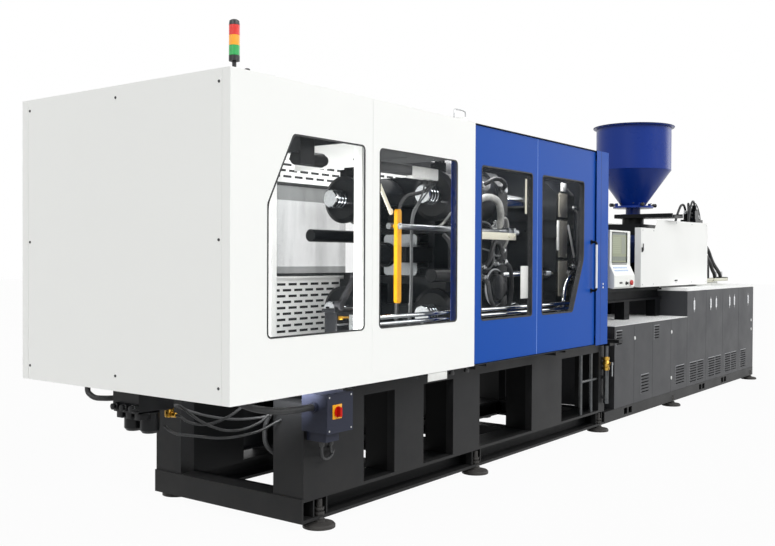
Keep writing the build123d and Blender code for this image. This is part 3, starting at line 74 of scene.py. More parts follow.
class Finish:
    # one material: its shader, and the few nodes that feed it
    def __init__(self, name):
        self.material = bpy.data.materials.new(name)
        self.material.use_nodes = True
        self.tree = self.material.node_tree
        self.shader = self.tree.nodes["Principled BSDF"]
        self.spot = None

    def add(self, kind, settings=None, inputs=None, out=0):
        node = self.tree.nodes.new(kind)
        for key, value in (settings or {}).items():
            if key == "stops":
                ramp = node.color_ramp
                while len(ramp.elements) < len(value):
                    ramp.elements.new(0.5)
                for element, (position, colour) in zip(ramp.elements, value):
                    element.position, element.color = position, colour
            else:
                setattr(node, key, value)
        for key, value in (inputs or {}).items():
            if isinstance(value, Wire):
                self.tree.links.new(value.socket, node.inputs[key])
            else:
                node.inputs[key].default_value = tint(value) if isinstance(value, str) else value
        return Wire(self, node.outputs[out])

    def where(self):
        if self.spot is None:
            self.spot = self.add("ShaderNodeTexCoord", out=3)
        return self.spot

    def axes(self):
        node = self.add("ShaderNodeSeparateXYZ", inputs={0: self.where()}).socket.node
        return [Wire(self, node.outputs[i]) for i in range(3)]

    def noise(self, scale, detail=2.0, rough=0.5, stretch=None):
        spot = self.where()
        if stretch:
            spot = self.add("ShaderNodeMapping", inputs={0: spot, 3: stretch})
        inputs = {"Vector": spot, "Scale": scale, "Detail": detail, "Roughness": rough}
        return self.add("ShaderNodeTexNoise", {}, inputs)

    def spread(self, value, low, high, first=0.0, last=1.0):
        return self.add("ShaderNodeMapRange", {"clamp": True}, {0: value, 1: low, 2: high, 3: first, 4: last})

    def blend(self, factor, first, second, how="MIX"):
        settings = {"data_type": "RGBA", "blend_type": how}
        return self.add("ShaderNodeMix", settings, {0: factor, 6: first, 7: second}, out=2)

    def fed(self, key):
        # what feeds one of the shader's sockets so far
        return Wire(self, self.shader.inputs[key].links[0].from_socket)

    def feed(self, **values):
        for key, value in values.items():
            socket = self.shader.inputs[key.replace("_", " ")]
            if isinstance(value, Wire):
                self.tree.links.new(value.socket, socket)
            else:
                socket.default_value = value
        return self

    def dent(self, height, distance, strength=1.0):
        bump = self.add("ShaderNodeBump", {}, {"Strength": strength, "Distance": distance, "Height": height})
        return self.feed(Normal=bump)


# ---- finishes

paint = {
    "white": "#F4F5F3", "blue": "#154CA5", "hopper": "#0D3186", "cabinet": "#3C3D40", "base": "#1D1E20",
    "black": "#121315", "head": "#EEF0EC", "platen": "#16181B", "yellow": "#E9A312", "red": "#C0180F",
    "cream": "#EDE9D6", "navy": "#16244F", "switchBox": "#2B2E3C", "cover": "#E9EAE8", "tray": "#C4C3B2",
}


def powderCoat(name, code, rough=0.42, coat=0.0, grime=0.0, fleck=0.03, peel=0.00012, gloss=0.15):
    # sprayed sheet metal: fine orange peel, slow drifts of shade, and dust low down where there is some
    f = Finish(name)
    x, y, z = f.axes()
    colour = f.blend(f.noise(0.9, 3), tint(code, 1 - fleck * 2), tint(code, 1 + fleck))
    if grime:
        low = f.spread(z, 0.0, 1.0, 1.0, 0.0) * f.noise(7, 6, 0.65) * grime
        colour = f.blend(low, colour, "#8A857C")
    f.feed(Base_Color=colour, Roughness=f.spread(f.noise(3.0, 5), 0.3, 0.7, rough - 0.06, rough + 0.08))
    f.feed(Coat_Weight=coat, Coat_Roughness=0.15, Specular_IOR_Level=gloss)
    return f.dent(f.noise(420, 2), peel)


def machinedSteel(name, code="#9EA1A4", rough=0.3, grain=(6, 260, 260), streak=0.08):
    # turned or ground metal, with its grain across the long way and light oily patches
    f = Finish(name)
    lines = f.noise(1.0, 3, 0.6, grain)
    colour = f.blend(f.spread(lines, 0.35, 0.65), tint(code, 0.72), code)
    colour = f.blend(f.spread(f.noise(5, 4), 0.5, 0.75, 0.0, 0.35), colour, "#6B6A62")
    f.feed(Base_Color=colour, Metallic=1.0, Roughness=f.spread(lines, 0.3, 0.7, rough - streak, rough + streak))
    return f.dent(lines, 0.00004)


def rubberHose(name, code="#161718", rough=0.55):
    f = Finish(name)
    colour = f.blend(f.noise(14, 4), code, "#2A2B2D")
    f.feed(Base_Color=colour, Roughness=f.spread(f.noise(18, 3), 0.3, 0.7, rough - 0.1, rough + 0.1))
    return f.dent(f.noise(240, 2), 0.0002)


def plainPlastic(name, code, rough=0.4, coat=0.0):
    f = Finish(name)
    f.feed(Base_Color=f.blend(f.noise(30, 3), tint(code, 0.86), code), Coat_Weight=coat)
    f.feed(Roughness=f.spread(f.noise(60, 3), 0.3, 0.7, rough - 0.05, rough + 0.07))
    return f.dent(f.noise(900, 2), 0.00004)


def clearPane(name, paintedReflection=False):
    # clear polycarbonate: a cool cast, fine wiping haze, and its own reflections
    f = Finish(name)
    haze = f.noise(2.2, 4, 0.6, (1, 1, 3))
    f.feed(Base_Color=f.blend(haze, "#454F55", "#788288"), Metallic=0.0, IOR=1.5)
    f.feed(Roughness=f.spread(haze, 0.3, 0.7, 0.02, 0.06), Specular_IOR_Level=0.3)
    f.feed(Alpha=f.spread(haze, 0.35, 0.75, 0.012, 0.04))
    if paintedReflection:
        # the far gate's first pane: a painted reflection laid on as a milky film with hanging folds, and a grey
        # band along its top and foot
        bandTop, bandFoot, reflectionEnd = 2.092, 1.552, -1.944
        x, y, z = f.axes()
        depth = f.spread(f.noise(2.6, 5, 0.6, (1.6, 1, 0.28)), 0.36, 0.62)
        bands = (z > bandTop).most(z < bandFoot)
        reflection = f.blend(bands, f.blend(depth, "#8E9794", "#CDD3D5"), "#6C7271")
        reflected = x < reflectionEnd
        f.feed(Base_Color=f.blend(reflected, "#8C979C", reflection), Roughness=f.spread(reflected, 0, 1, 0.04, 0.4))
        f.feed(Alpha=0.04 + reflected * (0.27 - depth * 0.12 + bands * 0.28))
    return f


def screenGlass(name):
    # a screen with a title bar, plain panels and a row of soft keys, all without lettering
    left, foot, width, height = 4.785 - halfLength, 1.596, 0.34, 0.274
    panelFoot, panelTop = 0.30, 0.86
    f = Finish(name)
    x, y, z = f.axes()
    u = (x - left) / width
    v = (z - foot) / height
    colour = f.blend(f.noise(24, 3), "#6D7455", "#7D8563")
    colour = f.blend(v > 0.93, colour, "#5F6A60")
    panels = u.between(0.06, 0.60) * v.between(panelFoot, panelTop)
    colour = f.blend(panels, colour, "#838B69")
    rows = (v * 16).fraction() < 0.16
    colour = f.blend(panels * rows, colour, "#656D56")
    colour = f.blend(u.between(0.66, 0.94) * v.between(panelFoot, panelTop), colour, "#737B67")
    softKeys = ((u * 8).fraction() > 0.12) * v.between(0.06, 0.2)
    f.feed(Base_Color=f.blend(softKeys, colour, "#596356"), Roughness=f.spread(u, 0, 1, 0.2, 0.26))
    return f.feed(Coat_Weight=0.1, Specular_IOR_Level=0.2)


def treadPlate(name):
    # white checker plate: raised dashes that turn a quarter from one cell to the next, painted grey as the shade
    # along their edges
    pitch, dashLength, dashWidth = 0.034, 0.62, 0.13
    f = Finish(name)
    x, y, z = f.axes()
    a = x / pitch
    b = y / pitch
    u = a.fraction() - 0.5
    v = b.fraction() - 0.5
    cells = a.floor() + b.floor()
    odd = cells.op("PINGPONG", cells, 1.0) > 0.5
    lengthways = odd * (u - v) + (1 - odd) * (u + v)
    across = odd * (u + v) + (1 - odd) * (u - v)
    dash = (abs(lengthways) < dashLength) * (abs(across) < dashWidth)
    # the dashes' grey is painted shade
    f.feed(Base_Color=f.blend(dash, "#FAFBFA", "#8F9196"), Roughness=f.spread(dash, 0, 1, 0.5, 0.33))
    return f.dent(dash, 0.0006)


def gatePaint(name, code, side, seamLighting):
    # the sliding gates: sheet metal with a seam painted as a highlight on the blue gate and as shade on the white
    # gate, and the grip bar in bright metal on black feet
    sheet, grip, seam = 0.8985, (1.3745, 1.7495), (-1.764, -1.756)
    f = powderCoat(name, code, 0.36, fleck=0.02, gloss=0.06)
    x, y, z = f.axes()
    out = y * side > sheet
    bar = out * z.between(*grip)
    colour = f.blend(bar, f.fed("Base Color"), "#E6E8EA")
    # the seam is painted lighter on the blue gate, a painted highlight, and darker on the white gate, a painted
    # shade
    colour = f.blend(x.between(*seam), colour, seamLighting)
    colour = f.blend(out - bar, colour, "#141517")
    return f.feed(Base_Color=colour, Metallic=bar * 0.6, Roughness=f.spread(bar, 0, 1, 0.36, 0.22))


def lensPlastic(name):
    # the beacon's three lenses, from the top: red, amber and green, ribbed inside
    foot, lens = 2.653, 0.052
    f = Finish(name)
    x, y, z = f.axes()
    colour = f.blend(z < foot + lens, "#F0A010", "#12A04A")
    colour = f.blend(z > foot + 2 * lens, colour, "#D81E10")
    f.feed(Base_Color=colour, Roughness=0.18, Coat_Weight=0.6, Emission_Color=colour, Emission_Strength=0.25)
    return f.dent(z.op("SINE", z * 1200.0), 0.0006)


def dressed(f, mask, code, metal=None, rough=None):
    # another colour where the mask is 1, over the finish that is there
    f.feed(Base_Color=f.blend(mask, f.fed("Base Color"), code))
    if metal is not None:
        f.feed(Metallic=mask * metal)
    if rough is not None:
        f.feed(Roughness=f.fed("Roughness") * (1 - mask) + mask * rough)
    return f


def pipeMetal(name):
    # galvanised pipes, with brass at the valve
    f = machinedSteel(name, "#5E6062", 0.38, (30, 30, 30))
    x, y, z = f.axes()
    return dressed(f, z.between(0.572, 0.702) * (y < -0.66), "#C9A24A")


def doorCoat(name):
    # the doors' grey, with bright latches and locks on its face
    f = powderCoat(name, "cabinet", 0.45, grime=0.05, fleck=0.03)
    x, y, z = f.axes()
    return dressed(f, y < -0.6622, "#DCDEE0", 0.85, 0.22)


def bedPaint(name):
    # black beams, and the white speckled plate on the high cabinet
    f = powderCoat(name, "black", 0.4, fleck=0.06, gloss=0.05)
    x, y, z = f.axes()
    plate = (x > 2.379) * (z > 1.2655)
    speckled = f.blend(f.noise(160, 2) > 0.62, "#F4F5F4", "#C2C3C4")
    return f.feed(Base_Color=f.blend(plate, f.fed("Base Color"), speckled))


def masked(name, code, mask, second, **finish):
    # a coat with a second colour where mask says, from the Object coordinates
    f = powderCoat(name, code, **finish)
    return dressed(f, mask(*f.axes()), second)


finishes = {
    "white": powderCoat("white powder coat", "white", 0.4, fleck=0.012),
    "hopper": powderCoat("dark blue gloss paint", "hopper", 0.3, 0.1, fleck=0.05, peel=0.0002, gloss=0.2),
    "cabinet": powderCoat("grey cabinet coat", "cabinet", 0.45, grime=0.05, fleck=0.03),
    "doors": doorCoat("grey door coat"), "bed": bedPaint("injection bed paint"),
    # a painted shadow line down the end panels for the gap between door and post, and the roof's underside dark
    # with painted shade
    "endPanels": masked("blue end panel coat", "blue", lambda x, y, z: x.between(-0.603, -0.598),
                        "#1C1E22", rough=0.36, fleck=0.02, gloss=0.06),
    "roofPanel": masked("roof coat", "white",
                        # the roof's underside inside the guard is painted dark: painted shade
                        lambda x, y, z: z.between(2.4, 2.57) * (abs(y) < 0.86) * x.between(-5.0, -2.75),
                        "#2B2D31", rough=0.4, fleck=0.012),
    "covers": powderCoat("cover coat", "cover", 0.4, fleck=0.012),
    "warmGrey": powderCoat("warm grey coat", "#8F8B80", 0.4, fleck=0.06),
    # the neck's flange, the carriage's tray and the switch's plate have a colour of their own
    "feedBase": masked("hopper base paint", "black", lambda x, y, z: z > 2.172, "hopper", rough=0.35),
    "tray": masked("carriage paint", "black", lambda x, y, z: x > 3.68, "tray", rough=0.4),
    "trayEdge": powderCoat("tray coat", "tray", 0.4, fleck=0.04),
    "switchRed": masked("switch plastic", "red", lambda x, y, z: y > -0.868, "#E8B71C", rough=0.3),
    # white posts behind the white panels, and deeper black behind the base's near beams, as painted shade under
    # the machine
    "guardFrame": masked("guard frame paint", "base",
                         lambda x, y, z: (x < -3.85).most((x < -2.8) * (y > 0.7)), "white", fleck=0.05),
    # near black on the base's inner beams: painted shade
    "base": masked("black frame paint", "base", lambda x, y, z: y.between(-0.6, 0.655) * (x > -4.1),
                   "#08090A", rough=0.42, grime=0.07, fleck=0.06, peel=0.0003, gloss=0.13),
    "switchBox": powderCoat("switch box coat", "switchBox", 0.38, fleck=0.04),
    "navy": powderCoat("navy coat", "navy", 0.35, fleck=0.05),
    "cream": powderCoat("cream coat", "cream", 0.4, fleck=0.03),
    "steelGrey": powderCoat("dark grey coat", "#4A4B4C", 0.4, fleck=0.08),
    # light grey: on the vent lips it is a painted highlight along their tops
    "edgeGrey": powderCoat("light grey edge", "#A6A8AB", 0.35, fleck=0.04),
    "hopperDark": powderCoat("dark blue rim", "#0E2255", 0.35, fleck=0.05),
    "black": powderCoat("black part paint", "black", 0.35, 0.1, fleck=0.08, peel=0.0003),
    "head": powderCoat("grey head coat", "head", 0.4, fleck=0.03),
    "platen": powderCoat("platen paint", "platen", 0.36, 0.1, fleck=0.12, peel=0.0008),
    "yellow": powderCoat("yellow safety paint", "yellow", 0.32, 0.3, fleck=0.04),
    "frontGate": gatePaint("blue gate coat", "blue", -1, "#86A6E6"),
    "rearGate": gatePaint("white gate coat", "white", 1, "#C8CBCB"),
    "red": plainPlastic("red plastic", "red", 0.28, 0.3),
    "dark": plainPlastic("black plastic", "#1A1B1C", 0.42),
    "lens": lensPlastic("beacon lens"),
    "pane": clearPane("clear pane"),
    "tread": treadPlate("white tread plate"),
    "steel": machinedSteel("machined steel"),
    "chrome": machinedSteel("hard chrome", "#D2D5D8", 0.12, (4, 90, 90), 0.04),
    "iron": powderCoat("dark cast iron", "#2C2C2E", 0.55, grime=0.25, fleck=0.1, peel=0.001),
    "pipe": pipeMetal("galvanised pipe"),
    "hose": rubberHose("black hose"), "whiteHose": rubberHose("white hose", "#E9E9E4", 0.4),
    "greyCable": rubberHose("grey cable", "#7C7F80", 0.4), "rubber": rubberHose("seal rubber", "#101112", 0.6),
    # the far pane's milky film is a painted reflection
    "screen": screenGlass("screen glass"), "reflectionPane": clearPane("far pane", True),
    "whitePlastic": plainPlastic("white plastic", "#ECEDEA", 0.4),
    "paleBlue": plainPlastic("pale blue keys", "#A9BFE0"),
    "zinc": machinedSteel("zinc plate", "#C9CBCC", 0.28, (60, 60, 60)),
    # a dark sheet for the far gate's slots: painted shade
    "shadeSheet": rubberHose("dark slot shade", "#1A1B1C", 0.7),
    "brass": machinedSteel("brass", "#C79A3C", 0.28, (60, 60, 60)),
}

wears = {
    "base": ["base_frame", "bed_rails"], "guardFrame": ["guard_frame"], "switchBox": ["switch_box"],
    "tray": ["injection_carriage"], "feedBase": ["hopper_base"], "iron": ["levelling_feet"],
    "cabinet": ["low_cabinet", "high_cabinet"], "bed": ["injection_bed"], "tread": ["tread_plate"],
    "doors": ["%s_door_%d" % (k, i) for k in ("low", "high") for i in range(1, 5)],
    "white": ["clamp_end_panel", "front_panels", "rear_guard_panel"], "roofPanel": ["roof_panel"],
    "covers": ["injection_covers"], "pane": ["front_panel_windows", "front_gate_windows"],
    "reflectionPane": ["rear_gate_windows"], "frontGate": ["front_gate"], "rearGate": ["rear_gate"],
    "endPanels": ["fixed_end_panels"], "navy": ["barrel_cover"], "platen": ["fixed_platen", "moving_platen"],
    "chrome": ["tie_bars", "cylinder_rods"],
    "black": ["lock_cylinders", "traverse_cylinders", "ejector_cylinder", "clamp_hydraulics",
              "injection_cylinders", "valve_block", "drive_unit"],
    "steel": ["slide_shoes", "ejector", "safety_bar", "water_valve_handle", "barrel", "screw"],
    "yellow": ["safety_lever"], "pipe": ["water_pipes"], "red": ["emergency_stop"], "switchRed": ["main_switch"],
    "hose": ["clamp_hoses", "injection_hoses"], "head": ["hmi_housing"], "screen": ["hmi_screen"],
    "dark": ["beacon_stand"], "lens": ["beacon_lenses"], "hopper": ["hopper", "purge_guard"],
}
for finishName, names in wears.items():
    for name in names:
        slots = nodes[name].data.materials
        slots.clear()
        slots.append(finishes[finishName].material)
print("finishes")


# ---- mesh helpers: places are in machine millimetres from the clamp end, like the drawings

mesh = bmesh.new()   # the piece in hand, which the add functions shape and finishPiece closes
near, far, above, below = (0, -1, 0), (0, 1, 0), (0, 0, 1), (0, 0, -1)   # near is the operator's side
unit, carriage = "injection_unit", "clamp_carriage"

def addBlock(low, high, edge=2.0, segments=2):
    corners = place(*low), place(*high)
    made = bmesh.ops.create_cube(mesh, size=1)["verts"]
    bmesh.ops.scale(mesh, vec=corners[1] - corners[0], verts=made)
    bmesh.ops.translate(mesh, vec=(corners[0] + corners[1]) / 2, verts=made)
    softenEdges(made, edge, segments)


def softenEdges(verts, edge, segments=2):
    if edge:
        edges = list({e for v in verts for e in v.link_edges})
        bmesh.ops.bevel(mesh, geom=edges, offset=edge / 1000, segments=segments, profile=0.5,
                        affect="EDGES", material=-1)


def addBar(start, end, across, through, edge=2.0):
    # a flat bar from one point to another: across is its width in the upright plane
    a, b = place(*start), place(*end)
    along = (b - a).normalized()
    up = along.cross(Vector((0, 1, 0))).normalized()
    turn = Matrix((along, up.cross(along), up)).transposed().to_4x4()
    made = bmesh.ops.create_cube(mesh, size=1)["verts"]
    shape = Matrix.Diagonal(((b - a).length, through / 1000, across / 1000, 1))
    bmesh.ops.transform(mesh, matrix=Matrix.Translation((a + b) / 2) @ turn @ shape, verts=made)
    softenEdges(made, edge)


def addTurned(centre, axis, profile, steps=32):
    # profile: distance along the axis and radius, from one end to the other, closed at both ends
    axis = Vector(axis).normalized()
    out = axis.orthogonal().normalized()
    middle = place(*centre)
    line = [mesh.verts.new(middle + axis * along / 1000 + out * radius / 1000) for along, radius in profile]
    edges = [mesh.edges.new(pair) for pair in zip(line, line[1:])]
    bmesh.ops.spin(mesh, geom=line + edges, cent=middle, axis=axis, angle=2 * math.pi, steps=steps,
                   use_merge=True)


def addNut(centre, axis, radius, height):
    made = bmesh.ops.create_cone(mesh, cap_ends=True, segments=6, radius1=radius / 1000,
                                 radius2=radius / 1000, depth=height / 1000)["verts"]
    turn = Vector(axis).to_track_quat("Z", "Y").to_matrix().to_4x4()
    shift = Matrix.Translation(place(*centre) + Vector(axis).normalized() * height / 2000)
    bmesh.ops.transform(mesh, matrix=shift @ turn, verts=made)
    softenEdges(made, min(radius, height) * 0.12, 1)


def addObject(name, data):
    made = bpy.data.objects.new(name, data)
    bpy.context.collection.objects.link(made)
    return made


def mount(name, data, finish, body):
    data.materials.append(finishes[finish].material)
    piece = addObject(name, data)
    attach(piece, body)


def finishPiece(name, finish, body="machine"):
    bmesh.ops.remove_doubles(mesh, verts=mesh.verts, dist=0.00002)
    bmesh.ops.recalc_face_normals(mesh, faces=mesh.faces)
    data = bpy.data.meshes.new(name)
    mesh.to_mesh(data)
    mesh.clear()
    data.shade_smooth()
    data.set_sharp_from_angle(angle=math.radians(35))
    mount(name, data, finish, body)


def blockPiece(name, finish, blocks, body="machine"):
    # a piece of blocks alone: two corners each, and how far its edges are softened
    for block in blocks:
        addBlock(*block)
    finishPiece(name, finish, body)


def tubes(name, finish, body, radius, routes):
    # round hoses and bent rods, one smooth line each, through the points given
    data = bpy.data.curves.new(name, "CURVE")
    data.dimensions = "3D"
    data.bevel_depth = radius / 1000
    data.bevel_resolution = 3
    data.resolution_u = 8
    data.use_fill_caps = True
    for route in routes:
        line = data.splines.new("NURBS")
        line.points.add(len(route) - 1)
        for point, spot in zip(line.points, route):
            point.co = (*place(*spot), 1)
        line.order_u = 3
        line.use_endpoint_u = True
    mount(name, data, finish, body)


screwHead = [(0, 0), (0, 8), (1.5, 8), (4, 6.5), (4.6, 3.4), (2.4, 3), (2.4, 0)]
capScrew = [(0, 0), (0, 12), (11, 12), (12, 11), (12, 6), (6, 5.5), (6, 0)]
flatScrew = [(0, 0), (0, 6), (2, 6), (3, 0)]


def collar(radius, length, tip, full, bore=0):
    # outline of a ring or fitting that narrows from length on, to its tip at full
    outline = [(0, bore), (0, radius), (length, radius), (full, tip), (full, bore)]
    return outline + outline[:1] if bore else outline


def addEach(centres, axis, profile, steps=16):
    for centre in centres:
        addTurned(centre, axis, profile, steps)


def addFitting(centre, axis, nut, shape, steps=20):
    # a nut on a face, and on the nut the collar of a hose or cable
    radius, height = nut
    addNut(centre, axis, radius, height)
    addTurned([c + a * height for c, a in zip(centre, axis)], axis, collar(*shape), steps)


def around(count, radius):
    # places on a circle, the first one half a step round
    for step in range(count):
        turn = math.radians((step + 0.5) * 360 / count)
        yield radius * math.cos(turn), radius * math.sin(turn)


# ---- rubber seals round the windows

seal = {"width": 10.0, "proud": 1.5, "corner": 32.0, "frontDepth": 2.9, "gateDepth": 39.5}
clampWindows = [[(262, 1193), (1088, 1193), (1088, 2287), (462, 2287), (262, 1902)],
                [(1227, 1193), (2102, 1193), (2102, 2287), (1227, 2287)]]
gateWindows = [[(2438, 1179), (3208, 1179), (3208, 2287), (2438, 2287)],
               [(3362, 1179), (3922, 1179), (4134, 1629), (4134, 2287), (3362, 2287)]]
backWindows = [[(2175, 1486), (3340, 1486), (3340, 2221), (2175, 2221)],
               [(3440, 1486), (4280, 1486), (4280, 2221), (3440, 2221)]]


def buildSeals(name, body, outlines, plane, depth):
    out = math.copysign(1, plane)
    for outline in outlines:
        corners = [mesh.verts.new(place(x, plane - out * depth, z)) for x, z in outline]
        mesh.faces.new(corners)
        rounded = bmesh.ops.bevel(mesh, geom=corners, offset=seal["corner"] / 1000, segments=6, profile=0.5,
                                  affect="VERTICES", material=-1)
        pane = rounded["verts"][0].link_faces[0]
        ring = bmesh.ops.inset_region(mesh, faces=[pane], thickness=seal["width"] / 1000, use_boundary=True,
                                      use_even_offset=True)["faces"]
        bmesh.ops.delete(mesh, geom=[pane], context="FACES_ONLY")
        raised = bmesh.ops.extrude_face_region(mesh, geom=ring)["geom"]
        lift = Vector((0, out * (depth + seal["proud"]) / 1000, 0))
        bmesh.ops.translate(mesh, vec=lift, verts=[g for g in raised if isinstance(g, bmesh.types.BMVert)])
    finishPiece(name, "rubber", body)


def buildSlotShade():
    # a dark sheet inside the far gate's sheet, seen only through its slots: painted shade in the slots
    panels = product(((2170, 3345), (3435, 4285)), ((950, 1446), (2261, 2492)))
    blockPiece("slotShadeSheet", "shadeSheet", [((left, 895.6, low), (right, 896.4, high), 0)
                                      for (left, right), (low, high) in panels], "back_gate")


buildSlotShade()
buildSeals("clampWindowSeals", "machine", clampWindows, -guardFace, seal["frontDepth"])
buildSeals("gateWindowSeals", "operator_gate", gateWindows, -gateFace, seal["gateDepth"])
buildSeals("backGateWindowSeals", "back_gate", backWindows, gateFace, seal["gateDepth"])
print("window seals")


# ---- guard: screws, plugs, roof fittings and the plate under the sill

guardTrim = {
    "endScrewY": (-830, 0, 830), "endScrewZ": (956, 1708, 2505),
    "backScrews": (((4390, 4560), (920, 1700, 2520)), ((60, 1050, 2060), (920, 2520))),
    "plugs": ((4498, 1406), (4498, 1376)), "roofKnob": (214, -812), "bracketX": (2150, 2316),
    "sillPlate": (1769, 1996, 815, 870), "sillKnobs": ((2065, -895, 871), (2255, -895, 871)),
}


def buildGuardTrim():
    ends = product((0,), guardTrim["endScrewY"], guardTrim["endScrewZ"])
    middle = (0, 0, guardTrim["endScrewZ"][1])   # no screw there
    addEach([spot for spot in ends if spot != middle], (-1, 0, 0), screwHead)
    for across, up in guardTrim["backScrews"]:
        addEach(product(across, (guardFace,), up), far, screwHead, 20)
    finishPiece("guardScrews", "steelGrey")

    domed = [(0, 0), (0, 9), (2, 9), (3.4, 7), (3.8, 0)]
    addEach([(x, -guardFace, z) for x, z in guardTrim["plugs"]], near, domed, 20)
    finishPiece("guardPlugs", "whitePlastic")

    grooved = [(0, 0), (0, 15), (4, 15), (4, 8), (16, 8), (20, 15), (30, 15), (34, 11), (35, 0)]
    addTurned((*guardTrim["roofKnob"], roofTop), above, grooved, 24)
    finishPiece("roofKnob", "dark")

    low, high = guardTrim["bracketX"]
    blockPiece("roofBracketFeet", "white", [
        ((low - 30, -895, roofTop), (low + 40, -800, roofTop + 3), 1),
        ((high - 60, -895, roofTop), (high + 12, -800, roofTop + 3), 1),
        ((low + 50, -890, roofTop), (low + 112, -800, roofTop + 27), 3)])
    tubes("roofBracketWire", "zinc", "machine", 5, [
        [(low, -850, 2572), (low, -850, 2630), (low + 6, -850, 2650), (high - 26, -850, 2652),
         (high - 20, -850, 2630), (high - 20, -850, 2572)]])

    left, right, low, high = guardTrim["sillPlate"]
    addBlock((left, -905, low), (right, -901, high), 1.5)
    addEach(product((left + 14, right - 14), (-905,), (low + 12, high - 12)), near, flatScrew)
    finishPiece("sillPlate", "whitePlastic")
    flared = [(0, 0), (0, 13), (14, 13), (18, 19), (34, 19), (38, 15), (38, 0)]
    addEach(guardTrim["sillKnobs"], below, flared, 20)
    finishPiece("sillKnobs", "dark")


buildGuardTrim()
print("guard trim")


# ---- clamp: what shows through the windows

clampTrim = {"glandX": (1926, 1990, 2040), "strutY": -730, "camScrewX": (2460, 3100, 3180),
             "ribZ": (1100, 1150, 1200), "cover": (3053, -650, 1400), "coverBolts": 120}


def buildJunctionBox():
    blockPiece("cableTrunk", "steelGrey", [
        ((1191, -791, 2165), (1742, -741, 2228), 3), ((1191, -741, 2222), (1742, -733, 2228), 1),
        ((1191, -741, 2165), (1742, -733, 2171), 1)])
    addBlock((1745, -790, 2150), (2052, -736, 2228), 6, 3)
    addBlock((1752, -736, 2157), (2045, -730, 2221), 4)
    addEach(product((1764, 2033), (-730,), (2168, 2210)), near, flatScrew)
    finishPiece("junctionBox", "whitePlastic")
    for x in clampTrim["glandX"]:
        addFitting((x, -762, 2150), below, (15, 12), (12, 16, 9, 22))
    finishPiece("junctionGlands", "dark")
    tubes("junctionCables", "greyCable", "machine", 6, [
        [(1926, -762, 2130), (1930, -755, 2100), (1958, -722, 2055), (1940, -695, 1990), (1908, -668, 1930),
         (1900, -666, 1760), (1906, -666, 1500), (1922, -640, 1200), (1930, -600, 1000), (1930, -600, 915)],
        [(2040, -762, 2130), (2042, -755, 2120), (2020, -735, 2085), (1975, -712, 2030), (1934, -684, 1950),
         (1918, -668, 1880), (1918, -666, 1700), (1925, -666, 1500), (1944, -640, 1200), (1952, -600, 1000),
         (1952, -600, 915)]])
    tubes("junctionConduit", "hose", "machine", 13, [
        [(1990, -762, 2130), (1990, -758, 2090), (1940, -700, 2060), (1860, -660, 2050), (1790, -640, 1960),
         (1780, -640, 1700), (1784, -640, 1300), (1784, -620, 1000), (1784, -600, 915)]])


def buildClampStrips():
    # the pale strips and plates that show through the windows, and the apron under the roof's edge
    y = clampTrim["strutY"]
    addBar((1370, y, 2222), (1586, y, 1920), 30, 8, 2)
    addBlock((1340, -741, 2172), (1392, -726, 2222), 3)
    addTurned((1584, y, 1922), near, collar(20, 7, 17, 9), 24)
    finishPiece("dropBarStrut", "cream")

    addBlock((2420, -750, 1768), (3215, -738.5, 1823), 2)
    addEach([(x, -750, 1796) for x in clampTrim["camScrewX"]], near, capScrew, 20)
    finishPiece("gateCamBar", "cream", carriage)
    addBlock((3080, -866, 1318), (3252, -862, 1568), 2)
    addEach([(3098, -862, z) for z in (1336, 1550)], far, flatScrew)
    finishPiece("gateStilePlate", "whitePlastic", "operator_gate")
    blockPiece("gateStileStrip", "cream", [((3146, -866, 1970), (3172, -861, 2240), 2)], "operator_gate")
    blockPiece("roofApron", "steelGrey", [
        ((2327, -788, 2320), (2331, 100, 2513), 1), ((2319, -700, 2380), (2327, -560, 2440), 2),
        ((2321, -330, 2350), (2327, -60, 2366), 2)])
    blockPiece("roofApronFar", "white", [((2327, 103, 2320), (2331, 788, 2513), 1)])
    stepped = [(0, 0), (0, 24), (4, 24), (6, 22), (6, 13), (14, 12), (14, 0)]
    addTurned((1630, -770, 1830), near, stepped, 6)
    finishPiece("dropBarNut", "zinc", "drop_bar")


def buildDropStop():
    # the manifold below the drop bar, with its tube and the link on top
    addBlock((1170, -620, 915), (1490, -500, 1060), 6)
    addBlock((1190, -612, 1060), (1480, -508, 1288), 8, 3)
    addBlock((1170, -616, 1280), (1490, -504, 1304), 4)
    addEach(product((1205, 1455), (-596, -524), (1304,)), above, capScrew, 20)
    finishPiece("stopManifold", "black")
    blockPiece("stopManifoldRibs", "steelGrey", [((1196, -618, z), (1474, -611, z + 12), 2)
                                                 for z in clampTrim["ribZ"]])
    addTurned((1195, -632, 1248), (1, 0, 0), [(0, 0), (0, 9), (214, 9), (214, 0)], 16)
    for x in (1200, 1392):
        addBlock((x, -642, 1236), (x + 14, -611, 1260), 2)
    finishPiece("stopManifoldTube", "brass")
    addBar((1229, -600, 1310), (1462, -600, 1596), 44, 22, 5)
    addBar((1330, -600, 1420), (1560, -600, 1500), 24, 16, 4)
    eyes = [(x, -580, z) for x, z in ((1229, 1322), (1462, 1596), (1384, 1500))]
    addEach(eyes, near, collar(30, 38, 26, 42), 28)
    addBlock((1205, -625, 1300), (1253, -575, 1330), 4)
    finishPiece("stopLink", "iron")


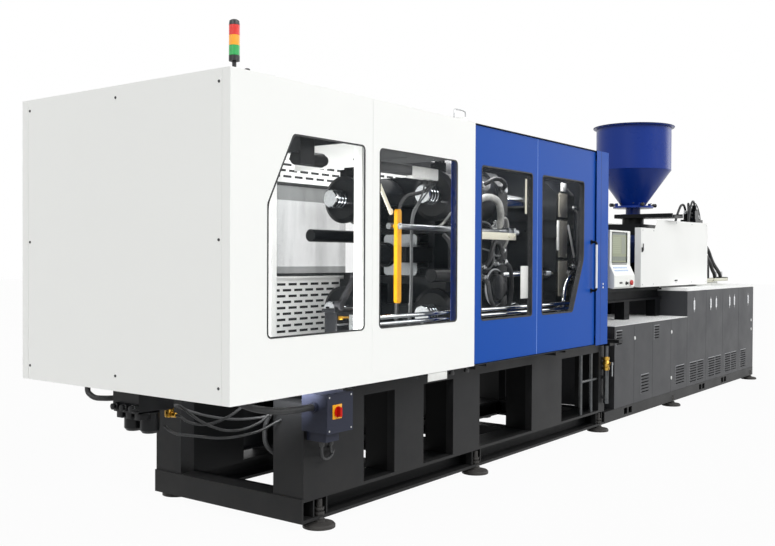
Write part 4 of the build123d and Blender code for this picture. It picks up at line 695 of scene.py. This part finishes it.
def buildCarriageHoses():
    tubes("carriageWhiteHose", "whiteHose", carriage, 27, [
        [(2700, -640, 2040), (2705, -700, 2052), (2800, -716, 2086), (2900, -716, 2088), (3000, -716, 2060),
         (3034, -714, 1980), (3040, -712, 1900), (3040, -690, 1862), (3040, -640, 1860)]])
    tubes("carriageSmallHoses", "whiteHose", carriage, 9, [
        [(3050, -640, 1905), (3055, -705, 1915), (3090, -712, 1945), (3140, -712, 1930), (3162, -710, 1850),
         (3162, -700, 1720), (3150, -640, 1690)],
        [(2560, -630, 1955), (2560, -705, 1950), (2480, -712, 1965), (2340, -712, 1956), (2285, -705, 1900),
         (2282, -660, 1852), (2300, -600, 1845)]])
    tubes("carriageBlackHoses", "hose", carriage, 17, [
        [(2850, -640, 1560), (2860, -712, 1570), (2880, -730, 1700), (2920, -730, 1760), (3000, -724, 1740),
         (3050, -716, 1660), (3060, -712, 1600), (3060, -640, 1590)],
        [(2860, -640, 1480), (2862, -706, 1470), (2866, -716, 1330), (2950, -716, 1232), (3120, -716, 1228),
         (3215, -712, 1310), (3220, -706, 1540), (3172, -690, 1590), (3172, -640, 1596)],
        [(2820, -640, 2180), (2830, -706, 2186), (2900, -716, 2230), (3040, -716, 2235), (3130, -712, 2190),
         (3160, -640, 2160)],
        [(2620, -630, 1495), (2620, -690, 1500), (2560, -712, 1560), (2440, -712, 1600), (2380, -700, 1680),
         (2380, -660, 1760), (2400, -610, 1790)]])
    tubes("carriageFineHoses", "greyCable", carriage, 7, [
        [(2840, -640, 1900), (2850, -700, 1905), (2900, -712, 1860), (2930, -712, 1700), (2940, -712, 1560),
         (2960, -640, 1540)],
        [(2870, -640, 1700), (2880, -706, 1690), (2960, -714, 1640), (3060, -714, 1650), (3120, -706, 1700),
         (3130, -640, 1720)]])

    for x, z, radius in ((2700, 2040, 27), (3040, 1860, 27), (2850, 1560, 17), (3060, 1590, 17),
                         (2860, 1480, 17), (3172, 1596, 17), (2820, 2180, 17), (3160, 2160, 17),
                         (3050, 1905, 9), (3150, 1690, 9)):
        face = -650 if x > 2780 else -640
        addFitting((x, face, z), near, (radius + 9, 12), (radius + 4, 26, radius + 1, 30), 24)
    finishPiece("carriageHoseEnds", "zinc", carriage)


def buildPlatenCover():
    # the round cover on the moving platen's side
    x, y, z = clampTrim["cover"]
    domed = [(0, 0), (0, 138), (14, 138), (20, 132), (20, 108), (34, 102), (46, 96), (50, 84), (50, 0)]
    addTurned((x, y, z), near, domed, 56)
    bolts = [(x + across, y - 20, z + up) for across, up in around(8, clampTrim["coverBolts"])]
    addEach(bolts, near, capScrew)
    finishPiece("platenSideCover", "black", carriage)
    addTurned((x, y, z), near, collar(147, 9, 144, 12, 134), 56)
    finishPiece("platenSideRing", "edgeGrey", carriage)


buildJunctionBox()
buildClampStrips()
buildDropStop()
buildCarriageHoses()
buildPlatenCover()
print("clamp details")


# ---- fixed platen: bolts, lugs, pipes

platenTrim = {"back": 4500, "boltY": (-440, 440), "boltZ": (1210, 2090), "boltCircle": 108, "side": -650,
              "plateZ": ((1300, 1610), (1640, 1960), (1990, 2200))}


def buildFixedPlatenTrim():
    side = platenTrim["side"]
    for y, z in product(platenTrim["boltY"], platenTrim["boltZ"]):
        for across, up in around(8, platenTrim["boltCircle"]):
            addNut((platenTrim["back"], y + across, z + up), (1, 0, 0), 16, 14)
    finishPiece("platenBolts", "zinc")
    for low, high in platenTrim["plateZ"]:
        addBlock((4140, side - 12, low), (4300, side, high), 4)
        addEach(product((4156, 4284), (side - 12,), (low + 18, high - 18)), near, screwHead)
    finishPiece("platenSidePlates", "warmGrey")
    addBlock((4110, side - 18, 1700), (4132, side, 1960), 3)
    addBar((4310, side - 12, 1925), (4440, side - 12, 1640), 26, 10, 3)
    addBlock((4180, side - 18, 2215), (4262, side, 2290), 4)
    finishPiece("platenSideStrips", "whitePlastic")
    tubes("platenPipe", "chrome", "machine", 20, [
        [(4330, -640, 1500), (4330, -700, 1502), (4300, -712, 1500), (4226, -714, 1470), (4160, -712, 1400),
         (4130, -712, 1330), (4126, -712, 1250), (4150, -700, 1195), (4150, -640, 1190)]])
    tubes("platenHoses", "hose", "machine", 14, [
        [(4390, -640, 1460), (4390, -705, 1455), (4300, -712, 1380), (4270, -712, 1250), (4300, -705, 1150),
         (4300, -640, 1140)],
        [(4420, -640, 1560), (4420, -706, 1560), (4400, -712, 1700), (4410, -712, 1900), (4430, -706, 2060),
         (4430, -640, 2080)]])
    for x, z, radius in ((4330, 1500, 20), (4150, 1190, 20), (4390, 1460, 14), (4300, 1140, 14),
                         (4420, 1560, 14), (4430, 2080, 14)):
        addFitting((x, side, z), near, (radius + 12, 14), (radius + 6, 20, radius + 2, 24), 24)
    finishPiece("platenHoseEnds", "zinc")


buildFixedPlatenTrim()
print("fixed platen details")


# ---- cabinets: vent lips and lock rings

doorTrim = {
    "face": -661.5, "lipProud": 3.0, "lipHeight": 5.0, "highX": (7425, 8093, 8740, 9413),
    "lowVents": ((5398, 5533, 778, 922), (6043, 6248, 236, 431), (6404, 6539, 778, 922), (7064, 7334, 221, 431)),
    "highVents": ((100, 330, 196, 431), (360, 580, 196, 431)),
    "locks": {"low_2": ((5865, 826),), "low_4": ((6921, 826), (6921, 316)), "high_4": ((9996, 809), (10000, 685))},
}


def buildDoorTrim(row, number, vents):
    body = "%s_cabinet_door_%d" % (row, number)
    face = doorTrim["face"]
    for left, right, low, high in vents:
        top = high + doorTrim["lipHeight"]
        # the lips are a lighter grey than the doors: a painted highlight along each vent's lit top edge, and the
        # thin strip down each vent's left side wears the same light grey
        addBlock((left - 3, face - doorTrim["lipProud"], high), (right + 3, face + 1, top), 1)
        addBlock((left - 4, face - 1.1, low - 3), (left - 1, face + 1, high), 0.6)
    finishPiece(body + "_lips", "edgeGrey", body)
    locks = doorTrim["locks"].get("%s_%d" % (row, number))
    if locks:
        for x, z in locks:
            addTurned((x, face, z), near, collar(19, 2, 17, 3, 13), 28)
            addBlock((x - 1.5, face - 5, z - 8), (x + 1.5, face - 3.7, z + 8), 0.4)
        finishPiece(body + "_lockRings", "whitePlastic", body)


def dressDoors():
    for i, x in enumerate(doorTrim["highX"]):
        buildDoorTrim("low", i + 1, [doorTrim["lowVents"][i]])
        # the last high door is narrower and has one vent
        high = doorTrim["highVents"][:2 if i < 3 else 1]
        buildDoorTrim("high", i + 1, [(x + left, x + right, low, top) for left, right, low, top in high])


dressDoors()
print("doors")


# ---- control head

head = {"front": -872, "keyRows": ((1548, -883.5), (1522, -896)), "keys": 9, "firstKey": 4800, "keyStep": 36,
        "keySize": (30, 3, 16), "keyTilt": -math.atan2(46, 95), "screwX": (4750, 5190), "screwZ": (1600, 1876)}


def addTilted(centre, size, tilt, edge):
    made = bmesh.ops.create_cube(mesh, size=1)["verts"]
    shape = Matrix.Diagonal([s / 1000 for s in size] + [1])
    bmesh.ops.transform(mesh, matrix=Matrix.Translation(place(*centre)) @ Matrix.Rotation(tilt, 4, "X") @ shape,
                        verts=made)
    softenEdges(made, edge)


def buildControlHead():
    blockPiece("headBezel", "dark", [
        ((4777, -875, 1588), (5133, -870, 1597), 1.5), ((4777, -875, 1869), (5133, -870, 1878), 1.5),
        ((4777, -875, 1597), (4786, -870, 1869), 1.5), ((5124, -875, 1597), (5133, -870, 1869), 1.5),
        ((4788, -874, 1577), (5122, -871, 1583), 1)], "control_head")
    for z, y in head["keyRows"]:
        for i in range(head["keys"]):
            centre = (head["firstKey"] + i * head["keyStep"], y, z)
            addTilted(centre, head["keySize"], head["keyTilt"], 1)
    finishPiece("headKeys", "paleBlue", "control_head")
    addBlock((4852, -925, 1402), (4908, -917, 1418), 3)
    dial = [(0, 0), (0, 17), (5, 17), (7, 15), (7, 11), (18, 10), (20, 8), (20, 0)]
    addTurned((5004, -917.5, 1404), near, dial, 28)
    addBlock((5001, -941, 1392), (5007, -936, 1416), 1)
    finishPiece("headSwitches", "dark", "control_head")
    addTurned((5103, -917.8, 1409), near, collar(35, 3, 33, 5, 27), 32)
    finishPiece("stopCollar", "whitePlastic", "control_head")
    places = product(head["screwX"], (head["front"],), head["screwZ"])
    addEach(places, near, [(0, 0), (0, 5), (1.5, 4.6), (2, 0)], 14)
    finishPiece("headScrews", "zinc", "control_head")


buildControlHead()
print("control head")


# ---- injection unit: covers, hopper, valve, tray

unitTrim = {
    "coverSide": 462.5, "coverScrewX": (6560, 6880, 7600, 8140, 8690), "coilZ": (2162, 2210),
    "portX": (8500, 8600, 8670), "trayEndX": (8700, 9850), "hopperX": 7420, "knobReach": 226, "nutCircle": 205,
}
trayHoses = [[(8690, -330, 1850), (8900, -330, 1862), (9171, -330, 1773), (9341, -330, 1602), (9620, -330, 1470),
              (9700, -330, 1420), (9700, -330, 1376)],
             [(8690, -335, 1740), (8900, -335, 1750), (9217, -335, 1621), (9330, -335, 1500), (9440, -335, 1440),
              (9452, -335, 1376)]]


def addCoverBlock(side, low, high, edge):
    # a block on one of the two side covers, with y counted outwards from the middle
    inner, outer = sorted((side * low[1], side * high[1]))
    addBlock((low[0], inner, low[2]), (high[0], outer, high[2]), edge)


def buildCoverTrim():
    face = unitTrim["coverSide"]
    for side, x in product((-1, 1), unitTrim["coverScrewX"]):
        for z in (1355, 2060 if x > 7000 else 1950):
            addTurned((x, side * face, z), (0, side, 0), screwHead, 16)
    finishPiece("coverScrews", "zinc", unit)
    for side in (-1, 1):
        addCoverBlock(side, (6526, face, 1708), (6552, 474, 1760), 3)
        addCoverBlock(side, (6530, 474, 1722), (6548, 482, 1800), 3)
        addCoverBlock(side, (7560, face, 1376), (7640, 470, 1392), 2)
    finishPiece("coverLatches", "dark", unit)
    for side in (-1, 1):
        addCoverBlock(side, (6990, 451, 2075), (8735, 462.4, 2079), 1)
    finishPiece("coverLips", "white", unit)


def buildValve():
    for z in unitTrim["coilZ"]:
        for x, way, length, end in ((8610, 1, 60, 100), (8470, -1, 50, 84)):
            coil = [(0, 0), (0, 24), (length, 24), (length + 2, 19), (end - 4, 19), (end, 15), (end, 0)]
            addTurned((x, -345, z), (way, 0, 0), coil, 28)
    addBlock((8500, -392, 2245), (8580, -300, 2268), 4)
    addBlock((8520, -380, 2268), (8560, -330, 2318), 6, 3)
    plug = [(0, 0), (0, 22), (30, 22), (34, 17), (54, 17), (58, 0)]
    addTurned((8585, -330, 2245), above, plug, 24)
    finishPiece("valveSolenoids", "black", unit)
    for x in unitTrim["portX"]:
        addFitting((x, -255, 2205), above, (27, 16), (20, 30, 17, 34), 24)
    finishPiece("valveFerrules", "zinc", unit)
    tubes("valveHoses", "hose", unit, 13, [
        [(8540, -355, 2300), (8538, -355, 2350), (8470, -360, 2372), (8380, -372, 2330), (8300, -380, 2240),
         (8250, -384, 2120), (8240, -384, 2000)],
        [(8505, -300, 2250), (8500, -300, 2320), (8440, -310, 2345), (8390, -330, 2280), (8370, -340, 2160),
         (8370, -340, 2020)]])
    tubes("valveCables", "hose", unit, 6, [
        [(8585, -330, 2300), (8590, -330, 2350), (8660, -335, 2350), (8740, -345, 2270), (8790, -350, 2160),
         (8796, -350, 2060)],
        [(8706, -345, 2162), (8740, -345, 2164), (8770, -350, 2120), (8776, -350, 2040)]])


def buildTray():
    ends = [((x, -384, 1358), (x + 16, -228, 1396), 4) for x in unitTrim["trayEndX"]]
    sides = [((8716, y, 1358), (9262, y + 4, 1386), 1) for y in (-380, -236)]
    tailSides = [((9262, y, 1346), (9858, y + 4, 1386), 1) for y in (-384, -232)]
    blockPiece("trayEnds", "dark", ends, unit)
    blockPiece("traySides", "trayEdge", sides, unit)
    blockPiece("trayTail", "trayEdge", [((9262, -384, 1346), (9858, -228, 1350), 1)] + tailSides,
               unit)
    for i, route in enumerate(trayHoses):
        tubes("trayHose%d" % (i + 1), "hose", unit, 24, [route])
    wind = [(0, 23), (0, 26.5), (4, 26.5), (4, 23), (0, 23)]
    for x, y, z in [route[-1] for route in trayHoses]:
        addTurned((x, y, z), below, [(-12, 24), (-12, 29), (30, 29), (30, 0)], 28)
        addEach([(x, y, z + 18 + step * 9) for step in range(9)], above, wind, 24)
    finishPiece("trayHoseCuffs", "dark", unit)


def buildHopperTrim():
    middle = unitTrim["hopperX"]
    waisted = [(0, 0), (0, 9), (18, 9), (20, 20), (58, 22), (66, 16), (68, 0)]
    for along, across in around(4, 1):
        out = Vector((along, across, 0))
        addTurned(Vector((middle, 0, 2272)) + out * unitTrim["knobReach"], out, waisted, 20)
    for along, across in around(8, unitTrim["nutCircle"]):
        addNut((middle + along, across, 2284), above, 12, 9)
    finishPiece("hopperKnobs", "dark", "hopper_body")
    bead = [(-6, 458), (-6, 466), (-3, 470), (3, 470), (5, 466), (5, 458), (-6, 458)]
    addTurned((middle, 0, 3192), above, bead, 96)
    finishPiece("hopperBead", "hopperDark", "hopper_body")
    weld = [(-5, 428), (-4, 433.5), (4, 434.5), (5, 431), (5, 428), (-5, 428)]
    addTurned((middle, 0, 2680), above, weld, 96)
    finishPiece("hopperSeam", "hopper", "hopper_body")


buildCoverTrim()
buildValve()
buildTray()
buildHopperTrim()
print("injection unit details")


# ---- base: levelling stems, switch box, cables and pipes

baseTrim = {"footX": (995, 2796, 5019, 6982, 9977), "footY": 641.5, "footTop": 50, "stemTop": 164,
            "switchScrewX": (828, 1026), "switchScrewZ": (622, 816), "switchGlandX": (880, 960),
            "valveY": (-70, 10, 90), "plugY": (-60, 30)}


def buildBaseTrim():
    foot = baseTrim["footTop"]
    rise = baseTrim["stemTop"] - foot
    stem = [(0, 0), (0, 30), (8, 26), (12, 19), (rise, 19), (rise + 4, 16), (rise + 4, 0)]
    for x, y in product(baseTrim["footX"], (-baseTrim["footY"], baseTrim["footY"])):
        addTurned((x, y, foot), above, stem, 24)
        addNut((x, y, foot + 22), above, 36, 20)
        addNut((x, y, foot + 52), above, 34, 16)
    finishPiece("levellingStems", "iron")
    blockPiece("tankWall", "black", [((1480, 536, 236), (1800, 542, 868), 2),
                                     ((1480, 500, 236), (1800, 536, 242), 1)])


def buildSwitchTrim():
    places = product(baseTrim["switchScrewX"], (-861.5,), baseTrim["switchScrewZ"])
    addEach(places, near, [(0, 0), (0, 6), (2, 5.6), (3, 0)])
    finishPiece("switchScrews", "zinc")
    blockPiece("switchBackPlate", "yellow", [((856, -863.4, 687), (940, -861, 771), 2)])
    for x in baseTrim["switchGlandX"]:
        addFitting((x, -760, 546), below, (20, 10), (16, 18, 11, 24))
    finishPiece("switchGlands", "dark")
    tubes("switchCables", "hose", "machine", 9, [
        [(880, -760, 520), (880, -760, 480), (900, -750, 440), (980, -720, 420), (1060, -690, 430),
         (1100, -664, 450), (1100, -655, 450)],
        [(960, -760, 520), (960, -760, 490), (990, -740, 460), (1040, -700, 465), (1060, -664, 480),
         (1060, -655, 480)]])


def buildClampPipes():
    # valves, plugs, hoses and pipes under the clamp end, and the blue upright behind the front panels
    cap = [(0, 0), (0, 22), (30, 22), (34, 18), (50, 18), (54, 0)]
    for y in baseTrim["valveY"]:
        addBlock((96, y - 26, 700), (170, y + 26, 738), 4)
        addTurned((96, y, 770), (-1, 0, 0), cap, 24)
    plug = [(0, 0), (0, 36), (20, 36), (24, 26), (60, 24), (64, 0)]
    addEach([(450, y, 806) for y in baseTrim["plugY"]], (1, 0, 0), plug, 28)
    finishPiece("clampValves", "black")
    addFitting((352, -60, 700), near, (18, 14), (14, 22, 10, 26))
    addBlock((330, -58, 684), (372, -20, 740), 4)
    finishPiece("clampBrass", "brass")
    tubes("clampFineHoses", "hose", "machine", 8, [
        [(352, -98, 700), (352, -130, 700), (380, -170, 660), (460, -250, 640), (560, -330, 690), (640, -380, 760),
         (660, -400, 840), (660, -400, 871)],
        [(300, -60, 640), (300, -120, 600), (380, -200, 590), (520, -320, 560), (700, -430, 590), (800, -470, 640),
         (832, -480, 650)],
        [(340, 60, 760), (420, 60, 750), (520, 20, 700), (600, -80, 660), (700, -240, 640), (800, -380, 660),
         (832, -400, 670)]])
    tubes("clampPipes", "dark", "machine", 6, [
        [(340, 120, 790), (420, 120, 790), (520, 130, 790), (700, 180, 800), (832, 200, 800)],
        [(340, 96, 776), (420, 96, 776), (520, 100, 776), (700, 150, 780), (832, 170, 780)]])

    blockPiece("innerUpright", "hopper", [((2114, -856, 880), (2180, -851, 2560), 2)])


buildBaseTrim()
buildSwitchTrim()
buildClampPipes()
print("base details")


# ---- stage, light and camera

studio = {"floor": "#A8A8A6", "ambient": 0.42, "seenWhite": 0.96, "soft": 35,
          "key": 1.87, "side": 1.5, "far": 0.45, "lampY": -700}
upperLamp = {"width": 0.7, "from": (-0.05, -0.8, 0.42)}
lowerLamp = {"width": 0.3, "from": (-0.75, -0.5, -0.55)}
workLamps = [(700, 2440, 14.0, upperLamp), (1700, 2440, 3.5, upperLamp), (2800, 2440, 11.0, upperLamp),
             (3800, 2440, 10.0, upperLamp), (560, 980, 34.0, lowerLamp)]
photoCamera = {"place": (-8.307, -4.3275, 1.612), "yaw": 36.75, "pitch": -0.82, "roll": 0.28,
               "focalPixels": 934.1, "photoWidth": 775, "sensor": 36}


def mixSeen(tree, plain, shown, end, share=1.0):
    # shown for rays to the camera, by reflection or through a pane, and plain for the light it gives
    path = tree.nodes.new("ShaderNodeLightPath")
    seen = path.outputs["Is Camera Ray"]
    for kind in ("Is Glossy Ray", "Is Transmission Ray"):
        most = tree.nodes.new("ShaderNodeMath")
        most.operation = "MAXIMUM"
        tree.links.new(seen, most.inputs[0])
        tree.links.new(path.outputs[kind], most.inputs[1])
        seen = most.outputs[0]
    part = tree.nodes.new("ShaderNodeMath")
    part.operation = "MULTIPLY"
    part.inputs[1].default_value = share
    mix = tree.nodes.new("ShaderNodeMixShader")
    for source, socket in ((seen, part.inputs[0]), (part.outputs[0], mix.inputs[0]), (plain, mix.inputs[1]),
                           (shown, mix.inputs[2]), (mix.outputs[0], end)):
        tree.links.new(source, socket)


def buildStage():
    bmesh.ops.create_grid(mesh, x_segments=1, y_segments=1, size=60)
    bmesh.ops.recalc_face_normals(mesh, faces=mesh.faces)
    data = bpy.data.meshes.new("studioFloor")
    mesh.to_mesh(data)
    mesh.clear()
    floor = addObject("studioFloor", data)
    f = Finish("studio floor").feed(Base_Color=tint(studio["floor"]), Roughness=0.9)
    glow = f.tree.nodes.new("ShaderNodeEmission")
    mixSeen(f.tree, f.shader.outputs[0], glow.outputs[0], f.tree.nodes["Material Output"].inputs[0],
            studio["seenWhite"])
    data.materials.append(f.material)

    world = bpy.data.worlds.new("studio")
    bpy.context.scene.world = world
    world.use_nodes = True
    tree = world.node_tree
    back = tree.nodes["Background"]
    back.inputs[0].default_value = (1, 1, 1, 1)
    back.inputs[1].default_value = studio["ambient"]
    white = tree.nodes.new("ShaderNodeBackground")
    white.inputs[0].default_value = (1, 1, 1, 1)
    mixSeen(tree, back.outputs[0], white.outputs[0], tree.nodes["World Output"].inputs[0])


def buildLight(name, direction, strength):
    data = bpy.data.lights.new(name, "SUN")
    data.energy = strength
    data.angle = math.radians(studio["soft"])
    addObject(name, data).rotation_euler = Vector(direction).to_track_quat("Z", "Y").to_euler()


def buildWorkLamps():
    # lamps inside the guard, which the camera does not see
    for i, (x, height, watts, kind) in enumerate(workLamps):
        data = bpy.data.lights.new("workLamp%d" % (i + 1), "AREA")
        data.shape = "RECTANGLE"
        data.size, data.size_y = kind["width"], 0.12
        data.energy = watts
        lamp = addObject(data.name, data)
        lamp.location = place(x, studio["lampY"], height)
        lamp.visible_camera = False
        lamp.rotation_euler = Vector(kind["from"]).to_track_quat("Z", "Y").to_euler()


def buildCamera():
    # fitted to the guard's corners in the photo
    yaw, pitch, roll = [math.radians(photoCamera[key]) for key in ("yaw", "pitch", "roll")]
    ahead = Vector((math.cos(yaw) * math.cos(pitch), math.sin(yaw) * math.cos(pitch), math.sin(pitch)))
    right = Vector((math.sin(yaw), -math.cos(yaw), 0))
    up = right.cross(ahead)
    turnedRight = math.cos(roll) * right + math.sin(roll) * up
    turnedUp = math.cos(roll) * up - math.sin(roll) * right
    data = bpy.data.cameras.new("photoCamera")
    data.sensor_width = photoCamera["sensor"]
    data.lens = photoCamera["focalPixels"] / photoCamera["photoWidth"] * photoCamera["sensor"]
    data.clip_end = 200
    camera = addObject("photoCamera", data)
    turn = Matrix((turnedRight, turnedUp, -ahead)).transposed().to_4x4()
    camera.matrix_world = Matrix.Translation(photoCamera["place"]) @ turn
    bpy.context.scene.camera = camera


buildStage()
buildLight("keyLight", (0.12, -0.82, 0.52), studio["key"])
buildLight("sideLight", (-0.82, -0.08, 0.58), studio["side"])
buildLight("farLight", (0.9, -0.4, 0.3), studio["far"])
buildWorkLamps()
buildCamera()
bpy.context.scene.view_settings.view_transform = "Standard"
print("studio")
